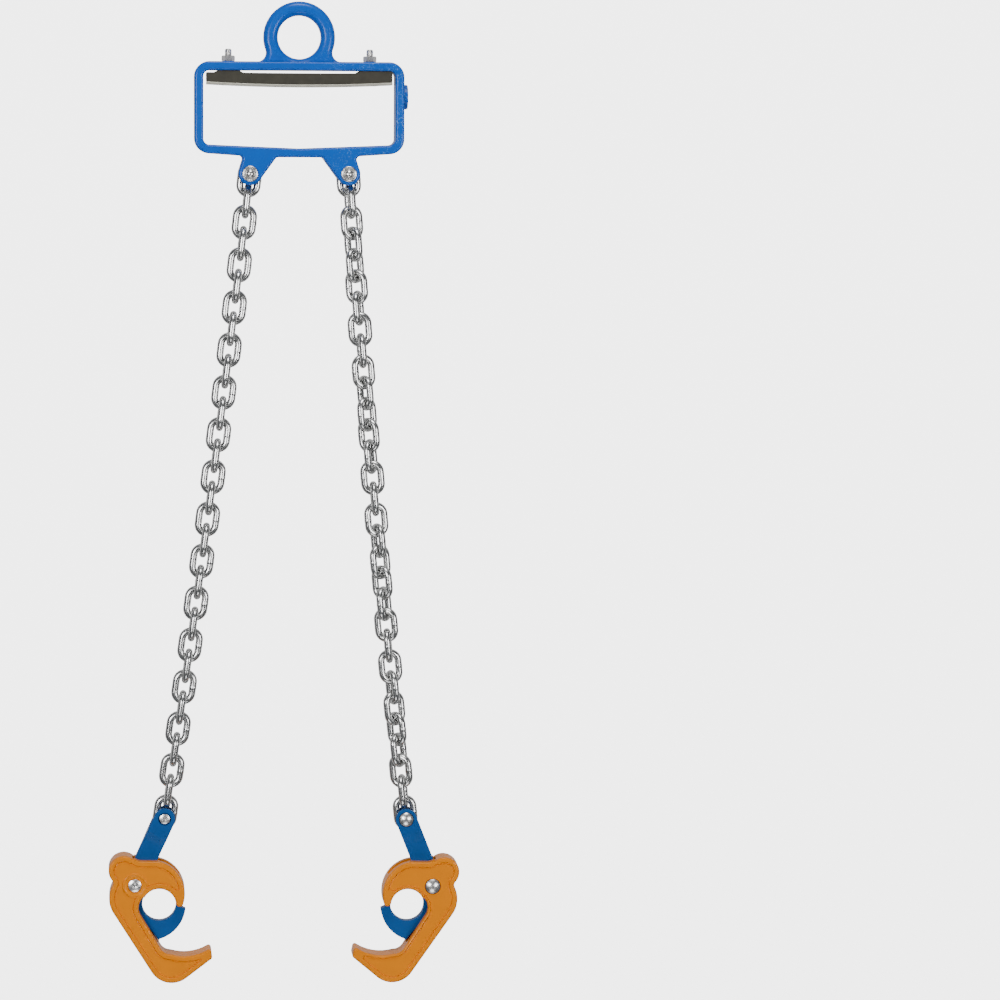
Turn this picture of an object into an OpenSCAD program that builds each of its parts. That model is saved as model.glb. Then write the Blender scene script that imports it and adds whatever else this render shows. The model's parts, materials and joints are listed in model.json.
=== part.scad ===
// Drum lifter: a lifting eye on a fork frame, two short-link chains and two self-closing rim clamps.
// Millimetres. Each piece is drawn hanging, front towards -Y and origin at the centre of the lifting eye.
// The lifter is then laid on its back, as its slack chains lie: front up along +Z, eye towards +Y.

/* [Lifting eye] */
// Diameter of the hole that takes the crane hook
eye_bore_d = 48; // [40:1:56]
// Radial width of the ring
eye_ring_w = 16; // [13:0.5:20]
// Depth of the ring, front to back
eye_depth = 22; // [18:1:30]
// Radius that rounds the ring's section
eye_round = 7; // [4:0.5:7.5]
// Metal left between the hole and the top of the frame
eye_floor = 3; // [2:0.5:6]
// Fillet where the ring meets the frame
eye_fillet = 10; // [6:0.5:13]

/* [Frame] */
// Outer width of the fork frame
frame_w = 234; // [215:1:260]
// Outer height of the fork frame at its sides
frame_h = 102.5; // [92:0.5:120]
// Depth of the frame, front to back
frame_depth = 38; // [36:1:48]
// Thickness of the bars
frame_wall = 10; // [8:0.5:13]
// Outer corner radius
frame_outer_r = 17; // [14:0.5:24]
// Inner corner radius
frame_inner_r = 7; // [4:0.5:10]
// How far the bottom bar bows down at its middle
frame_bow = 4; // [1:0.5:6]
// Diameter of the round boss on the right bar
side_boss_d = 27.5; // [18:0.5:34]
// How far the boss stands out
side_boss_h = 4.5; // [2:0.5:7]
// Depth of the boss centre below the frame's top
side_boss_drop = 38.6; // [32:0.2:46]

/* [Chain lugs] */
// Distance between the two chain pins
lug_spacing = 110; // [96:1:124]
// Drop from the bottom bar to the chain pins
lug_drop = 22; // [20:0.5:27]
// Radius of the round lug end
lug_r = 13; // [11.5:0.1:13]
// Width of the slot that takes the first link
lug_slot = 16; // [16:0.5:20]
// Lean of the lug's inner edge from the vertical
lug_inner_lean = 36; // [28:1:42]
// Lean of the lug's outer edge from the vertical
lug_outer_lean = 18; // [10:1:22]
// Diameter of the chain pins
pin_d = 10; // [8:0.5:10.4]
// Diameter of the washer on each pin end
pin_washer_d = 18; // [16:0.5:22]
// Thickness of that washer
pin_washer_t = 2.5; // [1.5:0.5:3.5]
// Height of the pin's domed end above its washer
pin_dome_h = 2; // [1:0.5:3]

/* [Fork pad] */
// Thickness of the rubber pad
pad_t = 12.6; // [9:0.2:15]
// Thickness of the steel strip under the pad
strip_t = 3; // [2.5:0.5:4]
// Depth of the pad and strip, front to back
pad_depth = 34; // [28:1:36]
// Clearance between the pad's ends and the frame
pad_end_gap = 3.5; // [2:0.5:6]
// Sag of the pad between its bolts
pad_sag = 2.8; // [1:0.2:4]
// Distance between the two pad bolts
pad_bolt_spacing = 158; // [140:1:164]
// Thread diameter of the pad bolts
pad_bolt_d = 8; // [6:1:10]
// Width of the nuts across their flats
pad_nut_w = 13; // [12:0.5:17]
// Height of the nuts
pad_nut_h = 6.5; // [5:0.5:8]
// Height of the bolt ends above the frame
pad_bolt_rise = 14; // [10:0.5:18]

/* [Chain] */
// Wire diameter
wire_d = 8; // [7:0.1:8.2]
// Distance from link to link under tension
link_pitch = 24; // [23.5:0.1:25]
// Outer width of a link
link_w = 27.4; // [27:0.1:28.4]
// Number of links in each chain
link_count = 31; // [31]
// Angle of the left chain from the vertical at its top
left_splay_top = 6.4; // [3:0.1:9]
// Angle of the left chain at its bottom
left_splay_end = 8.7; // [5:0.1:11]
// Angle of the right chain from the vertical at its top
right_splay_top = 4.3; // [3:0.1:9]
// Angle of the right chain at its bottom
right_splay_end = 6.2; // [4:0.1:11]
// Turns by which the right chain hangs twisted
right_twist_turns = 1; // [0, 1]

/* [Cam lever] */
// Distance from the chain rivet to the jaw rivet
lever_len = 82; // [78:0.5:92]
// Lean of the closed lever from the clamp's upright
lever_lean = 24.4; // [22:0.2:27]
// Width of the lever arm
lever_w = 24; // [20:0.5:24]
// Thickness of the cam and lower arm
cam_t = 12; // [10:0.5:13]
// Width of the gap that takes the last link
fork_gap = 13; // [13:0.5:15]
// Thickness of each fork prong
prong_t = 4.5; // [4:0.5:6]
// Radius of the lever's hub
hub_r = 17.5; // [15:0.5:18]
// Diameter of the chain rivet
chain_rivet_d = 10; // [8:0.5:10.4]
// Diameter of the jaw rivet
jaw_rivet_d = 14; // [11:0.5:15]

/* [Clamp body] */
// Depth of the body, front to back
body_depth = 34; // [30:1:40]
// Diameter of the throat that closes round the drum's rim
throat_d = 38; // [35:0.5:39]
// Radius of the lobe behind the lever
lobe_r = 17; // [14:0.5:18]
// Outer radius of the beak
beak_r = 38; // [36:0.25:39]
// Radius of the heel under the toe
heel_r = 26.8; // [22:0.2:28]
// Width of the raised rim
rim_w = 5.5; // [4:0.25:6]
// Depth of the recess inside the rim
rim_h = 1.5; // [0.8:0.1:2.5]
// Diameter of the boss round the jaw rivet
jaw_boss_d = 26.5; // [20:0.5:28]
// Wall left behind the cam slot
slot_wall = 4.2; // [3:0.1:4.3]

/* [Fits] */
// Gap between neighbouring links, and between a link and its pin
link_gap = 0.3; // [0.3:0.05:0.5]
// Radial clearance of pins and rivets in their holes
pin_clear = 0.05; // [0.02:0.01:0.1]
// Clearance on each side of the cam in its slot
cam_clear = 0.3; // [0.2:0.05:0.6]

/* [Hidden] */
$fn = 64;
arc_step = 9;
over = 1;

// The frame's levels and half widths
eye_r = eye_bore_d / 2 + eye_ring_w;
frame_top = -eye_bore_d / 2 - eye_floor;
frame_bottom = frame_top - frame_h;
bar_under = frame_top - frame_wall;
frame_in_w = frame_w - 2 * frame_wall;

// The eye's foot: its fillets touch ring and frame, and stop short of a knife edge
foot_level = frame_top + eye_fillet;
foot_half = sqrt(pow(eye_r + eye_fillet, 2) - foot_level * foot_level);
foot_join = foot_level * eye_r / (eye_r + eye_fillet);
foot_edge = 2;

// The chain pins and lugs
pin_x = lug_spacing / 2;
pin_z = frame_bottom - lug_drop;
lug_slot_room = 4;
lug_slot_r = lug_r + lug_slot_room;

// The pad's wave: flat at the bolts, sagging over these lengths towards the middle and the ends
pad_flat = 12;
pad_rise_in = 40;
pad_rise_out = 14;
pad_step = 4;
pad_end = frame_in_w / 2 - pad_end_gap;
bolt_x = pad_bolt_spacing / 2;
bolt_head_r = pad_bolt_d / 2 + strip_t;

// The links
wire_r = wire_d / 2;
link_in_len = link_pitch + link_gap;
link_bend_r = (link_w - wire_d) / 2;
link_leg = link_in_len - link_w + 2 * wire_d;
twist_step = 360 * right_twist_turns / (link_count - 1);
pair_count = (link_count - 1) / 2;

// The clamp's outline in its own frame: jaw rivet at the origin, X towards the drum, second axis up
lever_up = [sin(lever_lean), cos(lever_lean)];
lever_pin = lever_len * lever_up;
throat_c = [27.4, -23.4];
throat_r = throat_d / 2;
beak_c = [18.5, -10];
beak_tip_c = [50.6, -21.6];
beak_tip_r = 3.7;
saddle_c = [8, 39.5];
saddle_r = 12;
saddle_turn = 227.9;
lobe_c = [-12.5, 16.8];
notch = [-26, 4.2];
notch_turn = -17.7;
notch_in = [cos(notch_turn), sin(notch_turn)];
back_c = [2, -15];
back_r = 31;
heel_c = [41.5, -85.7];
back_way = heel_c - back_c;
back_turn = 360 + atan2(back_way[1], back_way[0]) - acos((back_r - heel_r) / norm(back_way));
toe_low_c = [84.2, -83.2];
toe_r = 3;
toe_way = toe_low_c - heel_c;
toe_turn = atan2(toe_way[1], toe_way[0]) - acos((heel_r - toe_r) / norm(toe_way));
toe_n = [cos(toe_turn), sin(toe_turn)];
toe_end_turn = 8;
toe_recess = 27;
palm_c = [56, -30];
palm_r = 51.7;
palm_turn = -107;
palm_toe_turn = -60;
palm_recess_turn = -70.5;
toe_top_c = palm_c + (palm_r + toe_r) * [cos(palm_toe_turn), sin(palm_toe_turn)];
bend_c = [40.5, -66];
bend_r = 13.3;
shank_turn = -145.2;
cheek_c = [21.5, -26];
cheek_r = 17.2;

// The cam: its outer curve, its tip face and its low corner
cam_c = [16.5, -24.3];
cam_r = 41;
cam_tip = [46.2, -23.9];
cam_tip_far = [60, -30.9];
cam_low = [27.5, -66];
cam_hub_turn = 214;
cam_reach = norm(cam_low);

// The fork at the lever's top, measured along the lever from the jaw rivet
fork_t = fork_gap + 2 * prong_t;
fork_room = 1.8;
fork_room_r = link_w / 2 + fork_room;
flare_gap = 4;
flare_len = 14;
flare_end = lever_len - fork_room_r - flare_gap;
flare_start = flare_end - flare_len;

// The cam slot inside the body
slot_t = cam_t + 2 * cam_clear;
slot_room = 0.8;
slot_lobe_room = 3;
slot_beak_low = [17.5, 0.5];
slot_beak_end = [62, 13.5];
slot_top = 46;

// Rivet ends
rivet_head_h = 3.2;
rivet_tail_h = 1.2;
chain_head_over = 5.6;
chain_tail_over = 2.4;
chain_sink_over = 4.6;
chain_sink_h = 1;
jaw_head_over = 2.6;
jaw_tail_over = 0.6;
chain_head_d = chain_rivet_d + chain_head_over;
chain_tail_d = chain_rivet_d + chain_tail_over;
chain_sink_d = chain_rivet_d + chain_sink_over;
jaw_head_d = jaw_rivet_d + jaw_head_over;
jaw_tail_d = jaw_rivet_d + jaw_tail_over;

// Finishes
frame_blue = [0, 0.35, 0.68];
lever_blue = [0, 0.28, 0.55];
clamp_yellow = [0.95, 0.6, 0.06];
bright_steel = [0.72, 0.73, 0.74];
pad_grey = [0.22, 0.22, 0.19];

SIDES = ["left", "right"];
FRAME_NODES = [
    "lifting_frame", "lifting_eye", "fork_pad", "pad_strip", "pad_bolts", "pad_nuts", "chain_pins", "pin_washers"
];
CLAMP_NODES = ["cam_lever", "chain_rivet", "clamp_body", "jaw_rivet"];
function two_digits(k) = str(k < 10 ? "0" : "", k);
function pair_name(side, k) = str(side, "_links_", two_digits(2 * k), "_", two_digits(2 * k + 1));

// Points along an arc, from one angle to another
function arc(c, r, from, to) =
    let (steps = max(1, ceil(abs(to - from) / arc_step)))
    [for (k = [0:steps]) let (a = from + (to - from) * k / steps) c + r * [cos(a), sin(a)]];

// Sag of the pad below the bar at x
function pad_wave(x) =
    let (off = abs(x) - bolt_x)
    let (away = abs(off) - pad_flat)
    let (reach = off > 0 ? pad_rise_out : pad_rise_in)
    let (share = min(1, max(0, away / reach)))
    pad_sag * pow(sin(90 * share), 2);

// Outline of a layer that follows the pad's wave, between two depths below the bar
function wave_layer(from, to, end) =
    let (steps = ceil(2 * end / pad_step))
    let (xs = [for (k = [0:steps]) -end + 2 * end * k / steps])
    concat(
        [for (x = xs) [x, bar_under - pad_wave(x) - from]],
        [for (k = [steps:-1:0]) [xs[k], bar_under - pad_wave(xs[k]) - to]]
    );

// Where each chain hangs: its side, tilt at link i, direction and the centre of link i
function side_sign(side) = side == "left" ? -1 : 1;
function splay(side, i) =
    let (share = (i - 1) / (link_count - 1))
    side == "left"
        ? left_splay_top + share * (left_splay_end - left_splay_top)
        : right_splay_top + share * (right_splay_end - right_splay_top);
function hang_dir(side, a) = [side_sign(side) * sin(a), 0, -cos(a)];
function link_centre(side, i) =
    i == 1
        ? [side_sign(side) * pin_x, 0, pin_z] + pin_hang(pin_d) * hang_dir(side, splay(side, 1))
        : link_centre(side, i - 1) + link_pitch * hang_dir(side, splay(side, i - 0.5));
function pin_hang(d) = link_in_len / 2 - d / 2 - link_gap;
function link_turn(side, i) = (i % 2 == 0 ? 90 : 0) + (side == "left" ? 0 : (i - 1) * twist_step);
function clamp_hook(side) =
    link_centre(side, link_count)
    + pin_hang(chain_rivet_d) * hang_dir(side, splay(side, link_count));
right_clamp_tilt = 2.9;
function clamp_tilt(side) = side == "left" ? 0 : right_clamp_tilt;
function clamp_face(side) = side == "left" ? 0 : 180;

// Body outline, anticlockwise from the beak's tip
body_outline = concat(
    arc(beak_tip_c, beak_tip_r, 200, 341),
    arc(beak_c, beak_r, -19, 78),
    arc(saddle_c, saddle_r, 270, saddle_turn),
    arc(lobe_c, lobe_r, saddle_turn - 180, 221),
    [notch],
    arc(back_c, back_r, 162, back_turn),
    arc(heel_c, heel_r, back_turn, 360 + toe_turn),
    arc(toe_low_c, toe_r, toe_turn, toe_end_turn),
    arc(toe_top_c, toe_r, toe_end_turn, 180 + palm_toe_turn),
    arc(palm_c, palm_r, palm_toe_turn, palm_turn),
    arc(bend_c, bend_r, palm_turn, shank_turn),
    arc(cheek_c, cheek_r, shank_turn, -222),
    arc(throat_c, throat_r, 150, 4)
);

// Outline of the recess inside the rim
recess_outline = concat(
    arc(beak_c, beak_r - rim_w, 8, 78),
    arc(saddle_c, saddle_r + rim_w, 270, saddle_turn),
    arc(lobe_c, lobe_r - rim_w, saddle_turn - 180, 221),
    [notch + rim_w * notch_in],
    arc(back_c, back_r - rim_w, 162, back_turn),
    arc(heel_c, heel_r - rim_w, back_turn, 360 + toe_turn),
    [heel_c + (heel_r - rim_w) * toe_n + toe_recess * [-toe_n[1], toe_n[0]]],
    arc(palm_c, palm_r + rim_w, palm_recess_turn, palm_turn),
    arc(bend_c, bend_r + rim_w, palm_turn, shank_turn),
    arc(cheek_c, cheek_r + rim_w, shank_turn, -222),
    arc(throat_c, throat_r + rim_w, 150, 46)
);

// A flat shape stood up in the XZ plane, centred on Y
module stand(depth) rotate([90, 0, 0]) linear_extrude(depth, center = true) children();

// A cylinder along Y, centred on Y
module cross_pin(d, len) rotate([90, 0, 0]) cylinder(d = d, h = len, center = true);

// A rectangle with true round corners, centred
module round_rect(w, h, r) {
    square([w - 2 * r, h], center = true);
    square([w, h - 2 * r], center = true);
    for (x = [-1, 1], y = [-1, 1])
        translate([x * (w / 2 - r), y * (h / 2 - r)])
            circle(r);
}

// The frame's bar outline: a rounded rectangle whose lower edge bows down
module bowed_rect(w, h, r, low) {
    half = w / 2 - r;
    bow_r = (half * half + frame_bow * frame_bow) / (2 * frame_bow);
    translate([0, low + h / 2])
        round_rect(w, h, r);
    intersection() {
        translate([0, low - frame_bow + bow_r])
            circle(bow_r, $fn = 256);
        translate([-half, low - frame_bow - over])
            square([2 * half, frame_bow + 2 * over]);
    }
}

// A shallow dome with its flat side at z = 0
module dome(d, h) {
    ball_r = (d * d / 4 + h * h) / (2 * h);
    intersection() {
        translate([0, 0, h - ball_r])
            sphere(ball_r);
        cylinder(d = d, h = h);
    }
}

// A lug's side view: a round end and a leg that widens into the bottom bar
module lug_shape() {
    inner_n = [cos(lug_inner_lean), -sin(lug_inner_lean)];
    outer_n = [-cos(lug_outer_lean), sin(lug_outer_lean)];
    leg = lug_drop + frame_wall / 2;
    inner_foot = lug_r * inner_n;
    outer_foot = lug_r * outer_n;
    circle(lug_r);
    polygon([
        outer_foot,
        [0, 0],
        inner_foot,
        [inner_foot[0] + (leg - inner_foot[1]) * tan(lug_inner_lean), leg],
        [outer_foot[0] + (leg - outer_foot[1]) * tan(lug_outer_lean), leg]
    ]);
}

// The eye's foot: a block under the ring with a fillet down to the frame on each side
module eye_foot_shape() {
    difference() {
        translate([foot_edge - foot_half, frame_top])
            square([2 * (foot_half - foot_edge), foot_join - frame_top]);
        for (x = [-1, 1])
            translate([x * foot_half, foot_level])
                circle(eye_fillet);
    }
}

module eye_ring() {
    rotate([90, 0, 0])
        rotate_extrude($fn = 128)
            translate([eye_bore_d / 2 + eye_ring_w / 2, 0])
                round_rect(eye_ring_w, eye_depth, eye_round);
}

// The eye stands on the frame's top face
module lifting_eye() {
    color(frame_blue)
        difference() {
            union() {
                eye_ring();
                stand(eye_depth)
                    eye_foot_shape();
            }
            cross_pin(eye_bore_d, eye_depth + 2 * over);
            translate([-eye_r, -eye_depth, frame_top - eye_r])
                cube([2 * eye_r, 2 * eye_depth, eye_r]);
        }
}

module lifting_frame() {
    color(frame_blue)
        difference() {
            union() {
                stand(frame_depth)
                    difference() {
                        bowed_rect(frame_w, frame_h, frame_outer_r, frame_bottom);
                        bowed_rect(
                            frame_in_w, frame_h - 2 * frame_wall, frame_inner_r, frame_bottom + frame_wall
                        );
                    }
                translate([frame_w / 2 - over, 0, frame_top - side_boss_drop])
                    rotate([0, 90, 0])
                        cylinder(d = side_boss_d, h = side_boss_h + over);
                for (x = [-1, 1])
                    translate([x * pin_x, 0, pin_z])
                        stand(frame_depth)
                            scale([-x, 1])
                                lug_shape();
            }
            for (x = [-1, 1])
                translate([x * pin_x, 0, pin_z]) {
                    cross_pin(pin_d + 2 * pin_clear, frame_depth + 2 * over);
                    translate([-2 * lug_r, -lug_slot / 2, -lug_r - over])
                        cube([4 * lug_r, lug_slot, lug_r + over + lug_slot_r]);
                }
            for (x = [-1, 1])
                translate([x * bolt_x, 0, bar_under - over])
                    cylinder(d = pad_bolt_d + 2 * pin_clear, h = frame_wall + 2 * over);
        }
}

module fork_pad() {
    color(pad_grey)
        difference() {
            stand(pad_depth)
                polygon(wave_layer(0, pad_t, pad_end));
            for (x = [-1, 1])
                translate([x * bolt_x, 0, bar_under - pad_t - over])
                    cylinder(d = pad_bolt_d + 2 * pin_clear, h = pad_t + 2 * over);
        }
}

module pad_strip() {
    color(bright_steel)
        difference() {
            stand(pad_depth)
                polygon(wave_layer(pad_t, pad_t + strip_t, pad_end));
            for (x = [-1, 1])
                translate([x * bolt_x, 0, bar_under - pad_t - strip_t])
                    cylinder(r1 = bolt_head_r + pin_clear, r2 = pad_bolt_d / 2 + pin_clear, h = strip_t);
        }
}

module pad_bolts() {
    low = bar_under - pad_t - strip_t;
    color(bright_steel)
        for (x = [-1, 1])
            translate([x * bolt_x, 0, low]) {
                cylinder(r1 = bolt_head_r, r2 = pad_bolt_d / 2, h = strip_t);
                cylinder(d = pad_bolt_d, h = frame_top + pad_bolt_rise - low);
            }
}

module pad_nuts() {
    color(bright_steel)
        for (x = [-1, 1])
            translate([x * bolt_x, 0, frame_top])
                difference() {
                    cylinder(d = pad_nut_w / cos(30), h = pad_nut_h, $fn = 6);
                    translate([0, 0, -over])
                        cylinder(d = pad_bolt_d + 2 * pin_clear, h = pad_nut_h + 2 * over);
                }
}

// Pins with a domed end proud of each washer
module chain_pins() {
    reach = frame_depth / 2 + pin_washer_t;
    color(bright_steel)
        for (x = [-1, 1])
            translate([x * pin_x, 0, pin_z]) {
                cross_pin(pin_d, 2 * reach);
                for (face = [0, 180])
                    rotate([0, 0, face])
                        translate([0, -reach, 0])
                            rotate([90, 0, 0])
                                dome(pin_d, pin_dome_h);
            }
}

module pin_washers() {
    color(bright_steel)
        for (x = [-1, 1], y = [-1, 1])
            translate([x * pin_x, y * (frame_depth + pin_washer_t) / 2, pin_z])
                difference() {
                    cross_pin(pin_washer_d, pin_washer_t);
                    cross_pin(pin_d + 2 * pin_clear, pin_washer_t + 2 * over);
                }
}

// One link in the XZ plane: two bends and two straight legs
module chain_link() {
    for (end = [0, 180])
        rotate([0, end, 0])
            translate([0, 0, link_leg / 2])
                rotate([90, 0, 0])
                    rotate_extrude(angle = 180)
                        translate([link_bend_r, 0])
                            circle(wire_r);
    for (x = [-1, 1])
        translate([x * link_bend_r, 0, 0])
            cylinder(r = wire_r, h = link_leg, center = true);
}

module hung_link(side, i) {
    color(bright_steel)
        translate(link_centre(side, i))
            rotate([0, -side_sign(side) * splay(side, i), 0])
                rotate([0, 0, link_turn(side, i)])
                    chain_link();
}

module place_clamp(side) {
    translate(clamp_hook(side))
        rotate([0, clamp_tilt(side), 0])
            rotate([0, 0, clamp_face(side)])
                translate([-lever_pin[0], 0, -lever_pin[1]])
                    children();
}

// The lever's arm, seen from the side
module arm_shape() {
    rotate(-lever_lean) {
        translate([-lever_w / 2, 0])
            square([lever_w, lever_len]);
        translate([0, lever_len])
            circle(lever_w / 2);
    }
}

// The crescent that closes the throat from below
module cam_shape() {
    difference() {
        intersection() {
            translate(cam_c)
                circle(cam_r);
            polygon([
                [0, 0],
                hub_r * [cos(cam_hub_turn), sin(cam_hub_turn)],
                cam_low,
                cam_low + [cam_r, 0],
                cam_tip_far + [cam_r, 0],
                cam_tip_far,
                cam_tip,
                throat_c
            ]);
        }
        translate(throat_c)
            circle(throat_r);
    }
}

// Thickness of the arm along its length: thin in the slot, flared to the fork
module arm_flare() {
    top = lever_len + lever_w;
    rotate([0, lever_lean, 0])
        rotate([90, 0, 90])
            linear_extrude(2 * lever_w, center = true)
                polygon([
                    [-cam_t / 2, 0], [cam_t / 2, 0], [cam_t / 2, flare_start], [fork_t / 2, flare_end],
                    [fork_t / 2, top], [-fork_t / 2, top], [-fork_t / 2, flare_end], [-cam_t / 2, flare_start]
                ]);
}

module cam_lever() {
    color(lever_blue)
        difference() {
            union() {
                stand(cam_t)
                    cam_shape();
                cross_pin(2 * hub_r, cam_t);
                intersection() {
                    stand(fork_t)
                        arm_shape();
                    arm_flare();
                }
            }
            cross_pin(jaw_rivet_d + 2 * pin_clear, cam_t + 2 * over);
            translate([lever_pin[0], 0, lever_pin[1]]) {
                cross_pin(chain_rivet_d + 2 * pin_clear, fork_t + 2 * over);
                cross_pin(2 * fork_room_r, fork_gap);
                rotate([0, lever_lean, 0])
                    translate([-lever_w, -fork_gap / 2, 0])
                        cube([2 * lever_w, fork_gap, lever_w]);
                translate([0, -fork_t / 2, 0])
                    cross_pin(chain_sink_d, 2 * chain_sink_h);
            }
        }
}

// A rivet along Y: domed head at the back, low tail at the front
module rivet(d, front, back, tail_d, head_d) {
    translate([0, back, 0])
        rotate([90, 0, 0])
            cylinder(d = d, h = back - front);
    translate([0, front, 0])
        rotate([90, 0, 0])
            dome(tail_d, rivet_tail_h);
    translate([0, back, 0])
        rotate([-90, 0, 0])
            dome(head_d, rivet_head_h);
}

module chain_rivet() {
    color(bright_steel)
        translate([lever_pin[0], 0, lever_pin[1]])
            rivet(chain_rivet_d, chain_sink_h - fork_t / 2, fork_t / 2, chain_tail_d, chain_head_d);
}

// Room for the hub, the arm and the cam between the cheeks
module slot_shape() {
    lobe_side = (lever_w / 2 + slot_lobe_room) * [-lever_up[1], lever_up[0]];
    back_n = [cos(back_turn), sin(back_turn)];
    floor_from = back_c + (back_r - slot_wall) * back_n;
    floor_to = heel_c + (heel_r - slot_wall) * back_n;
    circle(hub_r + slot_room);
    polygon([
        [0, 0],
        slot_beak_low,
        slot_beak_end,
        [slot_beak_end[0], slot_top],
        lobe_side + slot_top * lever_up,
        lobe_side
    ]);
    intersection() {
        circle(cam_reach + slot_room);
        polygon([[-hub_r - slot_room, 0], floor_from, floor_to, heel_c, throat_c, [0, 0]]);
    }
}

module clamp_body() {
    color(clamp_yellow)
        difference() {
            stand(body_depth)
                polygon(body_outline);
            for (y = [-1, 1])
                translate([0, y * (body_depth / 2 - rim_h / 2 + over / 2), 0])
                    stand(rim_h + over)
                        difference() {
                            polygon(recess_outline);
                            if (y < 0)
                                circle(d = jaw_boss_d);
                        }
            stand(slot_t)
                slot_shape();
            cross_pin(jaw_rivet_d + 2 * pin_clear, body_depth + 2 * over);
        }
}

module jaw_rivet() {
    color(bright_steel)
        rivet(jaw_rivet_d, -body_depth / 2, body_depth / 2 - rim_h, jaw_tail_d, jaw_head_d);
}

// The hanging lifter laid on its back
module lay_down() rotate([-90, 0, 0]) children();

lay_down() lifting_frame();
lay_down() lifting_eye();
lay_down() fork_pad();
lay_down() pad_strip();
lay_down() pad_bolts();
lay_down() pad_nuts();
lay_down() chain_pins();
lay_down() pin_washers();
for (side = SIDES) {
    lay_down() hung_link(side, 1);
    for (k = [1:pair_count])
        for (i = [2 * k, 2 * k + 1]) lay_down() hung_link(side, i);
    lay_down() place_clamp(side) cam_lever();
    lay_down() place_clamp(side) chain_rivet();
    lay_down() place_clamp(side) clamp_body();
    lay_down() place_clamp(side) jaw_rivet();
}
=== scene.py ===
"""Looks of a drum lifter, laid flat: cast fork frame, padded window, short-link chains and cam clamps."""
import json
import logging
import math
from dataclasses import dataclass
from enum import Enum
from typing import Sequence

import bmesh
import bpy
from bmesh.types import BMEdge, BMesh, BMVert
from bpy.types import Material, Node, NodeSocket, NodeTree, Object
from mathutils import Euler, Matrix, Vector


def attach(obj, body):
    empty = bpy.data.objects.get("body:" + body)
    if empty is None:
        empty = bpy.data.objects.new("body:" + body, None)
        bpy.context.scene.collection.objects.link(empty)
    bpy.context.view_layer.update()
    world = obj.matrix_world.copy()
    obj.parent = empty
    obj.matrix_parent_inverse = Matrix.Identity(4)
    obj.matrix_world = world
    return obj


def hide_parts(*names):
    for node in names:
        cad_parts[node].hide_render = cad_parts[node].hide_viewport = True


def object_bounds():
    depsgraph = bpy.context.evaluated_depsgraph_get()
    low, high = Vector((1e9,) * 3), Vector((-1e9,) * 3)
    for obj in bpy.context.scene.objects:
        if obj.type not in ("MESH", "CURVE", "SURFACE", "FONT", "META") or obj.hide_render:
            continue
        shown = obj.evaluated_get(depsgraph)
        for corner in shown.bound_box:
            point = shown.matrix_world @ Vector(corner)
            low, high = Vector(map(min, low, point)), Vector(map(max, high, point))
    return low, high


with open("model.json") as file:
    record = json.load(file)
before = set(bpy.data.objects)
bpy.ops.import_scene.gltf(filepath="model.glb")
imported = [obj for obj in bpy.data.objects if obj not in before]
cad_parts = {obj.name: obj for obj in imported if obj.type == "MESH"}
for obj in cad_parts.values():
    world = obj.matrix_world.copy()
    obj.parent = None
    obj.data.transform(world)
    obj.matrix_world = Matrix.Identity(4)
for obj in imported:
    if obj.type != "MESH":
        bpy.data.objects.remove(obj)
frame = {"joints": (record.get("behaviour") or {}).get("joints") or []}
CAD_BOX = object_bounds()
LOG = logging.getLogger("drum_lifter")
MM = 0.001
MERGE_MM = 0.01
PROUD_MM = 1.0
SHARP_DEG = 38.0
LAY = Matrix.Rotation(-math.pi / 2, 4, "X")
Colour = tuple[float, float, float]
Point = tuple[float, float]
Spot = tuple[float, float, float]


class Side(Enum):
    """The two chains and clamps, as seen from the front."""

    LEFT = "left"
    RIGHT = "right"

    @property
    def sign(self) -> int:
        """Direction along X in which this side's chain hangs."""
        return -1 if self is Side.LEFT else 1

    def node(self, name: str) -> str:
        """Name of this side's node or body."""
        return f"{self.value}_{name}"


class Carve(Enum):
    """What one closed mesh does to another."""

    JOIN = "UNION"
    CUT = "DIFFERENCE"
    KEEP = "INTERSECT"


class Slot(Enum):
    """The record's material slots."""

    FRAME = "frame_paint"
    LEVER = "lever_paint"
    CLAMP = "clamp_paint"
    CHAIN = "chain_steel"
    PIN = "pin_steel"
    STRIP = "strip_steel"
    PAD = "pad_rubber"


def joint_point(name: str) -> Vector:
    """Where a joint's axis lies on the hanging lifter, as its pieces are drawn before they are laid down.

    Args:
        name: the joint's name.

    Returns:
        A point on the axis, in millimetres.
    """
    found = next(j for j in frame["joints"] if j["name"] == name)
    return LAY.inverted() @ (Vector(found["pos_m"]) / MM)


def polar(turn: float, r: float = 1.0) -> Vector:
    """Point of the XZ plane at an angle in degrees from +X towards +Z."""
    return Vector((r * math.cos(math.radians(turn)), 0, r * math.sin(math.radians(turn))))


@dataclass(frozen=True)
class Arc:
    """A stretch of an outline on a circle, with angles in degrees from +X towards +Z."""

    x: float
    z: float
    r: float
    start: float
    end: float

    @property
    def centre(self) -> Vector:
        """The circle's centre."""
        return Vector((self.x, 0, self.z))

    @property
    def begin(self) -> Vector:
        """The arc's first point."""
        return self.centre + polar(self.start, self.r)


@dataclass(frozen=True)
class Round:
    """A circle of which several outlines take a stretch."""

    x: float
    z: float
    r: float

    @property
    def centre(self) -> Vector:
        """The circle's centre."""
        return Vector((self.x, 0, self.z))

    def arc(self, start: float, end: float, grow: float = 0.0) -> Arc:
        """A stretch of the circle, or of one about the same centre with a larger radius."""
        return Arc(self.x, self.z, self.r + grow, start, end)


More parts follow.
